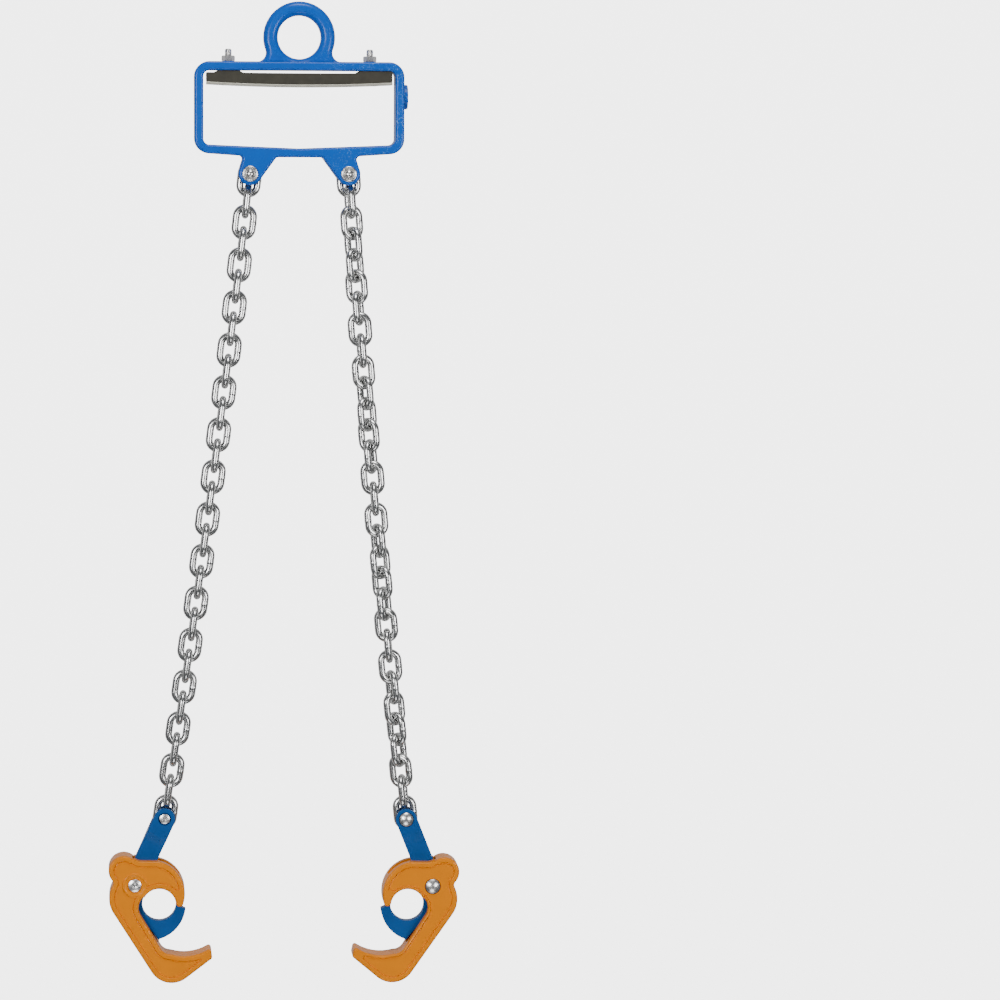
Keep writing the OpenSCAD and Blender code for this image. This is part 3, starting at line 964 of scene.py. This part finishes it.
@dataclass(frozen=True)
class LugPins:
    """The chain pins through the lugs and the washers on their ends."""

    pin_r: float = 5.0
    washer_r: float = 9.0
    washer_t: float = 2.5
    depth: float = LiftingFrame.depth
    rise: float = 2.0
    chamfer: float = 0.6
    lip_w: float = 2.6
    lip_foot: float = 0.2
    sink: float = 1.7
    clearance: float = 0.05

    def _pin(self) -> BMesh:
        """A pin with a domed end at each face.

        Returns:
            The closed mesh.
        """
        face = self.depth / 2 + self.washer_t
        end, edge, full = self.pin_r - self.chamfer, face - self.chamfer, face - 2 * self.chamfer
        profile = [*reversed(dome(end, -face, -self.rise)), (end, -edge), (self.pin_r, -full),
                   (self.pin_r, full), (end, edge), *dome(end, face, self.rise)]
        return turned(profile)

    def _washer(self) -> BMesh:
        """A dished washer: rounded lip, sunk ring and hole, its back on the front ear's face.

        Returns:
            The closed mesh.
        """
        back, bore = -self.depth / 2, self.pin_r + self.clearance
        front = back - self.washer_t
        sunk, lip, half = front + self.sink, self.washer_r - self.lip_w, self.lip_w / 2
        crown = [(lip + half + half * math.cos(a), front + half - half * math.sin(a))
                 for a in (math.pi * k / 8 for k in range(9))]
        profile = [(bore, back), (self.washer_r, back), *crown, (lip - self.lip_foot, sunk), (bore, sunk),
                   (bore, back)]
        return turned(profile)

    def build(self, shop: Workshop) -> None:
        """Makes both pins and all washers.

        Args:
            shop: where pieces are made.
        """
        pins, washers = [], []
        for side in Side:
            at = Matrix.Translation(joint_point(side.node("chain_swing")))
            pins.append(shift(self._pin(), at))
            washers += [shift(self._washer(), at @ Matrix.Rotation(turn, 4, "Z")) for turn in (0, math.pi)]
        shop.piece("lug_pins_domed", gather(*pins), Matrix(), Slot.PIN, "frame", ["chain_pins"])
        shop.piece("lug_pin_washers", gather(*washers), Matrix(), Slot.PIN, "frame", ["pin_washers"])


@dataclass(frozen=True)
class Chain:
    """A short-link chain of welded links, in the pose in which it hangs."""

    side: Side
    splay_top: float
    splay_end: float
    twist_step: float
    links: int = 31
    pitch: float = 24.0
    gap: float = 0.3
    wire_r: float = 4.0
    bend_r: float = 9.7
    pin_d: float = 2 * LugPins.pin_r
    weld_swell: float = 1.05
    weld_steps: Spot = (0.9, 0.8, 1.0)
    wire_sides: int = 16
    bend_steps: int = 16

    @property
    def leg(self) -> float:
        """Length of a link's straight legs."""
        return self.pitch + self.gap - 2 * self.bend_r + 2 * self.wire_r

    def _splay(self, i: float) -> float:
        """Angle of the chain from the vertical at link i."""
        return self.splay_top + (i - 1) / (self.links - 1) * (self.splay_end - self.splay_top)

    def _down(self, i: float) -> Vector:
        """Direction in which the chain hangs at link i."""
        a = math.radians(self._splay(i))
        return Vector((self.side.sign * math.sin(a), 0, -math.cos(a)))

    def places(self) -> list[Matrix]:
        """Where each link hangs, from the lug down.

        Returns:
            One place for each link.
        """
        hang = (self.pitch + self.gap - self.pin_d) / 2 - self.gap
        centre = joint_point(self.side.node("chain_swing")) + hang * self._down(1)
        out = []
        for i in range(1, self.links + 1):
            if i > 1:
                centre = centre + self.pitch * self._down(i - 0.5)
            turn = (90 if i % 2 == 0 else 0) + (i - 1) * self.twist_step
            tilt = Matrix.Rotation(math.radians(-self.side.sign * self._splay(i)), 4, "Y")
            out.append(Matrix.Translation(centre) @ tilt @ Matrix.Rotation(math.radians(turn), 4, "Z"))
        return out

    def _bend(self, bm: BMesh, ring: list, z: float) -> list:
        """Spins the wire's ring half round a bend.

        Args:
            bm: the mesh.
            ring: the wire's last ring.
            z: level of the bend's centre.

        Returns:
            The new ring.
        """
        made = bmesh.ops.spin(
            bm, geom=ring, cent=(0, 0, z), axis=(0, -1, 0), angle=math.pi, steps=self.bend_steps
        )
        return [g for g in made["geom_last"] if isinstance(g, (BMVert, BMEdge))]

    def _run(self, bm: BMesh, ring: list, step: float, swell: float) -> list:
        """Extrudes the wire's ring along a leg.

        Args:
            bm: the mesh.
            ring: the wire's last ring.
            step: how far along Z.
            swell: its size against the ring before.

        Returns:
            The new ring.
        """
        made = bmesh.ops.extrude_edge_only(bm, edges=[g for g in ring if isinstance(g, BMEdge)])
        verts = moved(made, bm, (0, 0, step))
        middle = sum((v.co for v in verts), Vector()) / len(verts)
        bmesh.ops.scale(bm, verts=verts, vec=(swell, swell, 1), space=Matrix.Translation(-middle))
        return [g for g in made["geom"] if isinstance(g, BMVert) or (isinstance(g, BMEdge) and
                all(v in verts for v in g.verts))]

    def link(self) -> BMesh:
        """One link in the XZ plane: wire bent from a ring, welded in the middle of one leg.

        Returns:
            The closed mesh.
        """
        bm = bmesh.new()
        made = bmesh.ops.create_circle(bm, cap_ends=False, segments=self.wire_sides, radius=self.wire_r)
        bmesh.ops.translate(bm, verts=made["verts"], vec=(self.bend_r, 0, -self.leg / 2))
        ring = bm.verts[:] + bm.edges[:]
        ramp, shoulder, crown = self.weld_steps
        rest = (self.leg - 2 * (ramp + shoulder) - crown) / 2
        swell = self.weld_swell ** 0.5
        for step, size in ((rest, 1), (ramp, swell), (shoulder, swell), (crown, 1), (shoulder, 1 / swell),
                           (ramp, 1 / swell), (rest, 1)):
            ring = self._run(bm, ring, step, size)
        ring = self._bend(bm, ring, self.leg / 2)
        ring = self._run(bm, ring, -self.leg, 1)
        self._bend(bm, ring, -self.leg / 2)
        bmesh.ops.remove_doubles(bm, verts=bm.verts[:], dist=MERGE_MM)
        bmesh.ops.recalc_face_normals(bm, faces=bm.faces[:])
        return bm

    def build(self, shop: Workshop) -> None:
        """Makes the first link, then the others in the pairs that move together.

        Args:
            shop: where pieces are made.
        """
        places = self.places()
        first = self.side.node("link_01")
        shop.piece(f"{first}_wire", self.link(), places[0], Slot.CHAIN, first, [first])
        for i in range(2, self.links, 2):
            body = self.side.node(f"links_{i:02d}_{i + 1:02d}")
            pair = gather(*(shift(self.link(), places[k]) for k in (i - 1, i)))
            shop.piece(f"{body}_wire", pair, Matrix(), Slot.CHAIN, body, [body])


@dataclass(frozen=True)
class Rivet:
    """A rivet along Y: dimpled tail in a seat at the front, domed head in a groove at the back."""

    r: float
    tail_r: float
    seat_r: float
    seat_deep: float
    seat_edge: float
    head_r: float
    groove_deep: float
    groove_w: float = 0.6
    groove_flare: float = 0.2
    groove_lap: float = 0.3
    head_edge: float = 0.5
    head_rise: float = 2.7
    tail_edge: float = 0.25
    slope: float = 0.27
    dimple_floor: float = 0.16
    dimple_rim: float = 0.47
    crown_rim: float = 0.60
    tail_rim: float = 0.97

    def solid(self, front: float, back: float) -> BMesh:
        """The rivet itself.

        Args:
            front: level of the tail's edge.
            back: level of the head's seat.

        Returns:
            The closed mesh.
        """
        r = self.tail_r
        crown = front - self.tail_edge - self.slope * (self.tail_rim - self.crown_rim) * r
        dimple = crown + self.slope * (self.dimple_rim - self.dimple_floor) * r
        tail = [(0, dimple), (self.dimple_floor * r, dimple), (self.dimple_rim * r, crown),
                (self.crown_rim * r, crown), (self.tail_rim * r, front - self.tail_edge), (r, front)]
        head = dome(self.head_r, back + self.head_edge, self.head_rise)
        return turned([*tail, (self.r, front), (self.r, back), (self.head_r, back), *head])

    def groove(self, face: float) -> BMesh:
        """A cutter for the narrow groove round the head on a back face.

        Args:
            face: level of the face.

        Returns:
            The ring to cut away.
        """
        foot, top = face - self.groove_deep, face + PROUD_MM
        near, far = self.head_r - self.groove_lap, self.head_r + self.groove_w
        wide = far + self.groove_flare
        return turned([(near, foot), (far, foot), (wide, top), (near, top), (near, foot)], 60)


@dataclass(frozen=True)
class Clamp:
    """A rim clamp: body, cam lever and rivets, with the jaw rivet at the origin and X towards the middle."""

    side: Side
    lever_len: float = 82.0
    lever_lean: float = 24.4
    lever_w: float = 24.0
    cam_t: float = 12.0
    fork_gap: float = 13.0
    prong_t: float = 4.5
    fork_room: float = 15.5
    flare: float = 14.0
    hub_r: float = 17.5
    lever_round: float = 0.8
    arm_foot: float = 4.0
    body_depth: float = 34.0
    body_round: float = 2.4
    rim_w: float = 5.5
    rim_h: float = 1.3
    groove_w: float = 0.9
    groove_h: float = 0.6
    rim_round: float = 0.4
    slot_t: float = 12.6
    slot_hub_r: float = 18.3
    slot_reach: float = 72.3
    slot_mouth: tuple[Point, ...] = ((62, 13.5), (62, 46), (5.3, 48.1))
    slot_back: Point = (-20.7, -29.3)
    boss_r: float = 13.2
    boss_root: float = 8.0
    boss_crown: tuple[Point, ...] = (
        (1.0, rim_h), (0.5, 0.5), (-0.2, 0.1), (-1.0, 0.0), (-1.8, 0.1), (-2.6, 0.7)
    )
    boss_dish: float = 0.7
    mark_up: float = 57.0
    mark_y: float = 9.0
    mark_apart: float = 4.7
    mark_r: float = 0.9
    mark_flare: float = 0.4
    mark_shoulder: float = 0.2
    mark_deep: float = 0.8
    jaw_rivet: Rivet = Rivet(
        r=7.0, tail_r=7.3, seat_r=8.1, seat_deep=5.0, seat_edge=0.3, head_r=8.3, groove_deep=4.0
    )
    chain_rivet: Rivet = Rivet(
        r=5.0, tail_r=5.8, seat_r=7.2, seat_deep=3.8, seat_edge=0.4, head_r=7.8, groove_deep=2.5
    )
    tail_drop: float = 1.0
    tip: Round = Round(50.48, -20.96, 4.2)
    beak: Round = Round(18.5, -10, 38)
    saddle: Round = Round(8, 39.5, 12)
    lobe: Round = Round(-12.5, 16.8, 17)
    notch: Round = Round(-29.4, 2.67, 5)
    back: Round = Round(2, -15, 31)
    heel: Round = Round(41.5, -85.7, 26.8)
    toe: Round = Round(84.2, -83.2, 3.0)
    palm: Round = Round(56, -30, 51.7)
    bend: Round = Round(40.5, -66, 13.3)
    cheek: Round = Round(21.5, -26, 17.2)
    throat: Round = Round(27.4, -23.4, 19)
    crescent: Round = Round(16.5, -24.3, 41)
    cam_corner: Point = (27.5, -66)
    heel_turn: float = 307.2
    toe_turn: float = 8.0
    palm_turn: float = -60.0
    palm_short: float = 1.0
    field_beak: float = 8.0
    field_throat: float = 46.0
    field_run: float = 28.0
    field_taper: float = 2.5

    @property
    def place(self) -> Matrix:
        """Where the clamp hangs in the frame, from its two rivets.

        Returns:
            The clamp's place on the hanging lifter.
        """
        jaw = joint_point(self.side.node("jaw_open"))
        hook = joint_point(self.side.node("lever_swing"))
        face = 0 if self.side is Side.LEFT else math.pi
        lean = math.atan2(hook.x - jaw.x, hook.z - jaw.z)
        tilt = lean - math.radians(self.lever_lean if self.side is Side.LEFT else -self.lever_lean)
        return Matrix.Translation(jaw) @ Matrix.Rotation(tilt, 4, "Y") @ Matrix.Rotation(face, 4, "Z")

    @property
    def lever(self) -> Matrix:
        """Turns a mesh that stands along Z to the lever's lean."""
        return Matrix.Rotation(math.radians(self.lever_lean), 4, "Y")

    @property
    def prong_face(self) -> float:
        """Level of the fork's outer faces."""
        return self.fork_gap / 2 + self.prong_t

    @property
    def back_field(self) -> float:
        """Level of the sunk field on the back."""
        return self.body_depth / 2 - self.rim_h

    def _on_lever(self, across: float, up: float) -> Matrix:
        """Moves an upright mesh to a point of the leaning lever."""
        return self.lever @ Matrix.Translation((across, 0, up)) @ self.lever.inverted()

    def _outside(self, beak_start: float, inset: float = 0.0) -> tuple[Arc, ...]:
        """The edge from the beak over saddle, lobe and back to the heel.

        Args:
            beak_start: angle at which it starts on the beak.
            inset: its distance inside the body's own edge.

        Returns:
            The edge's arcs.
        """
        return (
            self.beak.arc(beak_start, 78, -inset), self.saddle.arc(270, 227.9, inset),
            self.lobe.arc(47.9, 219.9, -inset), self.notch.arc(39.9, -29.4, inset),
            self.back.arc(150.6, 212.2, -inset), self.heel.arc(212.2, self.heel_turn, -inset),
        )

    def _inside(self, palm_start: float, throat_end: float, inset: float = 0.0) -> tuple[Arc, ...]:
        """The edge from the palm up the shank and round the throat.

        Args:
            palm_start: angle at which it starts on the palm.
            throat_end: angle at which it ends in the throat.
            inset: its distance inside the body's own edge.

        Returns:
            The edge's arcs.
        """
        return (
            self.palm.arc(palm_start, -107, inset), self.bend.arc(-107, -145.2, inset),
            self.cheek.arc(-145.2, -222, inset), self.throat.arc(150, throat_end, inset),
        )

    def _outline(self) -> Outline:
        """The body's outline, from the beak's tip over the lobe and heel to the throat.

        Returns:
            The outline.
        """
        top = self.palm.centre + polar(self.palm_turn, self.palm.r + self.toe.r)
        return Outline((
            self.tip.arc(186, 341.1), *self._outside(-18.9),
            self.toe.arc(self.heel_turn - 360, self.toe_turn),
            Arc(top.x, top.z, self.toe.r, self.toe_turn, 180 + self.palm_turn),
            *self._inside(self.palm_turn, 6),
        ))

    def _recess(self, w: float, inner: float) -> Outline:
        """Outline of the sunk field.

        Args:
            w: its distance from the body's outer edge.
            inner: its distance from the throat and the palm.

        Returns:
            The outline.
        """
        run = self.field_run - self.field_taper * (w - self.rim_w)
        toe = self.heel.centre + polar(self.heel_turn, self.heel.r - w) + polar(self.heel_turn - 270, run)
        palm = math.degrees(math.atan2(toe.z - self.palm.z, toe.x - self.palm.x)) - self.palm_short
        return Outline((
            *self._outside(self.field_beak, w), (toe.x, toe.z), *self._inside(palm, self.field_throat, inner),
        ))

    def _sink(self, bm: BMesh, way: int) -> None:
        """Sinks the field inside the rim on one face, with a fine groove at the rim's foot.

        Args:
            bm: the body's slab.
            way: -1 for the front face, 1 for the back.
        """
        level = way * self.body_depth / 2
        inner = self.rim_w if way < 0 else self.body_round + self.rim_round
        face = max((f for f in bm.faces if f.normal.y * way > 0.99), key=lambda f: f.calc_area())
        border = list(face.edges)
        bmesh.ops.delete(bm, geom=[face], context="FACES_ONLY")
        steps = ((0, 0), (self.groove_w, self.rim_h + self.groove_h), (2 * self.groove_w, self.rim_h))
        upper, deep, field = (
            self._recess(self.rim_w + step, inner + step).draw(bm, level - way * down) for step, down in steps
        )
        fill = {"use_beauty": True, "use_dissolve": False, "normal": (0, way, 0)}
        bmesh.ops.triangle_fill(bm, edges=border + upper, **fill)
        bmesh.ops.bridge_loops(bm, edges=upper + deep)
        bmesh.ops.bridge_loops(bm, edges=deep + field)
        bmesh.ops.triangle_fill(bm, edges=field, **fill)
        bmesh.ops.bevel(bm, geom=upper, offset=self.rim_round, offset_type="OFFSET", segments=3, profile=0.5,
                        affect="EDGES", material=-1, clamp_overlap=False)

    def _boss(self) -> BMesh:
        """The raised ring round the jaw rivet on the front, with a seat for the rivet's tail.

        Returns:
            The closed mesh, which reaches into the body.
        """
        face, seat, edge = -self.body_depth / 2, self.jaw_rivet.seat_r, self.jaw_rivet.seat_edge
        root, dish, floor = face + self.boss_root, face + self.boss_dish, face + self.jaw_rivet.seat_deep
        crown = [(self.boss_r + out, face + down) for out, down in self.boss_crown]
        bore = [(seat + edge, dish), (seat, dish + edge), (seat, floor), (0, floor)]
        return turned([(0, root), (crown[0][0], root), *crown, *bore], 72)

    def _slot(self) -> BMesh:
        """Room between the cheeks for the lever's hub, arm and cam.

        Returns:
            The block to cut away.
        """
        hub = Round(0, 0, self.slot_hub_r)
        return slab((Outline((
            hub.arc(-40.5, 2.3), *self.slot_mouth, hub.arc(120.7, 180), self.slot_back,
            Arc(0, 0, self.slot_reach, -85.1, -59.9), (self.throat.x, self.throat.z),
        )),), self.slot_t)

    def _body(self) -> BMesh:
        """The cast body: rounded cheeks with sunk fields, split by the cam's slot.

        Returns:
            The closed mesh.
        """
        bm = slab((self._outline(),), self.body_depth, self.body_round, 5)
        for way in (-1, 1):
            self._sink(bm, way)
        bmesh.ops.recalc_face_normals(bm, faces=bm.faces[:])
        bm = carve(bm, self._boss(), Carve.JOIN)
        bm = carve(bm, self.jaw_rivet.groove(self.back_field), Carve.CUT)
        return carve(bm, self._slot(), Carve.CUT)

    def _cam(self) -> BMesh:
        """The crescent under the throat, with the hub and the arm's root.

        Returns:
            The closed mesh.
        """
        hub = Round(0, 0, self.hub_r)
        cam = Outline((
            hub.arc(90, 214), self.cam_corner, self.crescent.arc(-75.2, -7.0), self.throat.arc(-1.5, -200),
            hub.arc(30, 90),
        ))
        return slab((cam,), self.cam_t, self.lever_round, 3)

    def _fork(self) -> BMesh:
        """The lever's arm, flared and forked at its upper end to take the last link.

        Returns:
            The closed mesh.
        """
        thin, wide, gap = self.cam_t / 2, self.prong_face, self.fork_gap / 2
        end, floor = self.lever_len + self.lever_w, self.lever_len - self.fork_room
        foot, flare_end = self.arm_foot, floor - self.arm_foot
        flare = flare_end - self.flare
        side = Outline((
            (-thin, foot), (thin, foot), (thin, flare), (wide, flare_end), (wide, end), (gap, end),
            (gap, floor), (-gap, floor), (-gap, end), (-wide, end), (-wide, flare_end), (-thin, flare),
        ))
        arm = shift(slab((side,), self.lever_w), Matrix.Rotation(math.pi / 2, 4, "Z"))
        half = self.lever_w / 2
        front = Outline(((-half, 0), (half, 0), Arc(0, self.lever_len, half, 0, 180)))
        face = slab((front,), 2 * wide, self.lever_round, 3)
        return shift(carve(face, arm, Carve.KEEP), self.lever)

    def _mark(self) -> BMesh:
        """A cutter for a punch mark in the lever's front face.

        Returns:
            The blunt cone to cut away.
        """
        face, wide = -self.mark_y, self.mark_r + self.mark_flare
        shoulder, tip = face + self.mark_shoulder, face + self.mark_deep
        return turned([(0, face - PROUD_MM), (wide, face - PROUD_MM), (self.mark_r, shoulder), (0, tip)], 16)

    def _lever(self) -> BMesh:
        """The cam lever in one piece, with seats for its rivet and two punch marks on the front.

        Returns:
            The closed mesh.
        """
        made = carve(self._fork(), self._cam(), Carve.JOIN)
        face, seat, edge = self.prong_face, self.chain_rivet.seat_r, self.chain_rivet.seat_edge
        out, floor = -face - PROUD_MM, self.chain_rivet.seat_deep - face
        sink = [(0, out), (seat + edge, out), (seat, edge - face), (seat, floor), (0, floor)]
        hook = self._on_lever(0, self.lever_len)
        cuts = [shift(turned(sink), hook), shift(self.chain_rivet.groove(face), hook)]
        for across in (-self.mark_apart, self.mark_apart):
            cuts.append(shift(self._mark(), self._on_lever(across, self.mark_up)))
        return carve(made, gather(*cuts), Carve.CUT)

    def build(self, shop: Workshop) -> None:
        """Makes the body, the lever and both rivets.

        Args:
            shop: where pieces are made.
        """
        lever, clamp = self.side.node("lever"), self.side.node("clamp")
        node = self.side.node
        shop.piece(node("clamp_casting"), self._body(), self.place, Slot.CLAMP, clamp, [node("clamp_body")])
        arm = self._lever()
        shop.piece(node("cam_lever_forging"), arm, self.place, Slot.LEVER, lever, [node("cam_lever")])
        chain = self.chain_rivet.solid(self.tail_drop - self.prong_face, self.prong_face)
        hook = self.place @ self._on_lever(0, self.lever_len)
        shop.piece(node("chain_rivet_formed"), chain, hook, Slot.PIN, lever, [node("chain_rivet")])
        jaw = self.jaw_rivet.solid(-self.body_depth / 2, self.back_field)
        shop.piece(node("jaw_rivet_formed"), jaw, self.place, Slot.PIN, clamp, [node("jaw_rivet")])


@dataclass(frozen=True)
class Softbox:
    """A square area light aimed at a point of the lying lifter."""

    name: str
    at: Spot
    aim: Spot
    size: float
    watts: float

    def build(self) -> None:
        """Hangs the light."""
        lamp = bpy.data.lights.new(self.name, "AREA")
        lamp.shape, lamp.size, lamp.energy = "SQUARE", self.size, self.watts
        made = bpy.data.objects.new(self.name, lamp)
        made.location = self.at
        made.rotation_euler = (Vector(self.aim) - Vector(self.at)).to_track_quat("-Z", "Y").to_euler()
        bpy.context.scene.collection.objects.link(made)


MIDDLE = (0.0, -0.5, 0.0)
SOFTBOXES = (
    Softbox("left_softbox", (-1.7, -0.2, 3.0), MIDDLE, size=1.2, watts=60),
    Softbox("right_softbox", (1.9, -0.6, 2.8), MIDDLE, size=1.1, watts=42),
    Softbox("head_softbox", (0.2, 2.8, 1.6), MIDDLE, size=1.4, watts=72),
    Softbox("foot_softbox", (0.0, -3.2, 2.0), MIDDLE, size=1.4, watts=18),
)


@dataclass(frozen=True)
class Studio:
    """Pale floor, low enough for the chains' swings, soft light, and the photograph's camera."""

    floor_drop: float = 0.6
    floor_half: float = 12.0
    eye: Spot = (-0.2, -4.6, -0.1)
    yaw: float = 5.315
    pitch: float = 5.182
    roll: float = 0.308
    lens: float = 147.45
    sensor: float = 36.0
    sight: float = 100.0
    floor_grey: Colour = (0.5, 0.5, 0.5)
    floor_rough: float = 0.9
    floor_shine: float = 0.1
    floor_glow: float = 4.0
    floor_spill: float = 0.1
    air: float = 0.11
    air_tint: Colour = (0.92, 0.96, 1.0)

    def _floor(self) -> None:
        """Matt grey floor that glows to the camera, so that it looks pale without washing out the paint."""
        pale = bpy.data.materials.new("studio_floor")
        pale.use_nodes = True
        shader = pale.node_tree.nodes["Principled BSDF"]
        shader.inputs["Base Color"].default_value = (*self.floor_grey, 1)
        shader.inputs["Roughness"].default_value = self.floor_rough
        shader.inputs["Specular IOR Level"].default_value = self.floor_shine
        kit = NodeKit(pale.node_tree)
        spill = (self.floor_spill / self.floor_glow,) * 3
        tint = kit.mix(kit.add("LightPath").outputs["Is Camera Ray"], spill, (1.0, 1.0, 1.0))
        pale.node_tree.links.new(tint, shader.inputs["Emission Color"])
        shader.inputs["Emission Strength"].default_value = self.floor_glow
        bm = bmesh.new()
        bmesh.ops.create_grid(bm, x_segments=1, y_segments=1, size=self.floor_half)
        bmesh.ops.translate(bm, verts=bm.verts[:], vec=(0, 0, CAD_BOX[0].z - self.floor_drop))
        mesh = bpy.data.meshes.new("studio_floor")
        bm.to_mesh(mesh)
        bm.free()
        mesh.materials.append(pale)
        made = bpy.data.objects.new("studio_floor", mesh)
        bpy.context.scene.collection.objects.link(made)

    def _camera(self) -> None:
        """The camera, level with the eye and looking down on the lying lifter from its front."""
        lens = bpy.data.cameras.new("photo_camera")
        lens.lens, lens.sensor_width, lens.clip_end = self.lens, self.sensor, self.sight
        made = bpy.data.objects.new("photo_camera", lens)
        turn = Euler((math.radians(90 - self.pitch), 0, math.radians(-self.yaw))).to_matrix().to_4x4()
        roll = Matrix.Rotation(math.radians(self.roll), 4, "Z")
        made.matrix_world = LAY @ Matrix.Translation(self.eye) @ turn @ roll
        bpy.context.scene.collection.objects.link(made)
        bpy.context.scene.camera = made

    def _world(self) -> None:
        """Even grey surroundings that fill the shadows."""
        world = bpy.data.worlds.new("studio_air")
        world.use_nodes = True
        air = world.node_tree.nodes["Background"]
        air.inputs["Color"].default_value = (*self.air_tint, 1)
        air.inputs["Strength"].default_value = self.air
        bpy.context.scene.world = world

    def build(self) -> None:
        """Sets the stage."""
        self._camera()
        self._world()
        self._floor()
        for light in SOFTBOXES:
            light.build()


def main() -> None:
    """Builds every sub-assembly, then the studio."""
    logging.basicConfig(level=logging.INFO, format="%(name)s: %(message)s")
    shop = Workshop()
    LiftingFrame().build(shop)
    ForkPad().build(shop)
    LugPins().build(shop)
    Chain(Side.LEFT, splay_top=6.4, splay_end=8.7, twist_step=0.0).build(shop)
    Chain(Side.RIGHT, splay_top=4.3, splay_end=6.2, twist_step=12.0).build(shop)
    for side in Side:
        Clamp(side).build(shop)
    Studio().build()


if __name__ == "__main__":
    main()
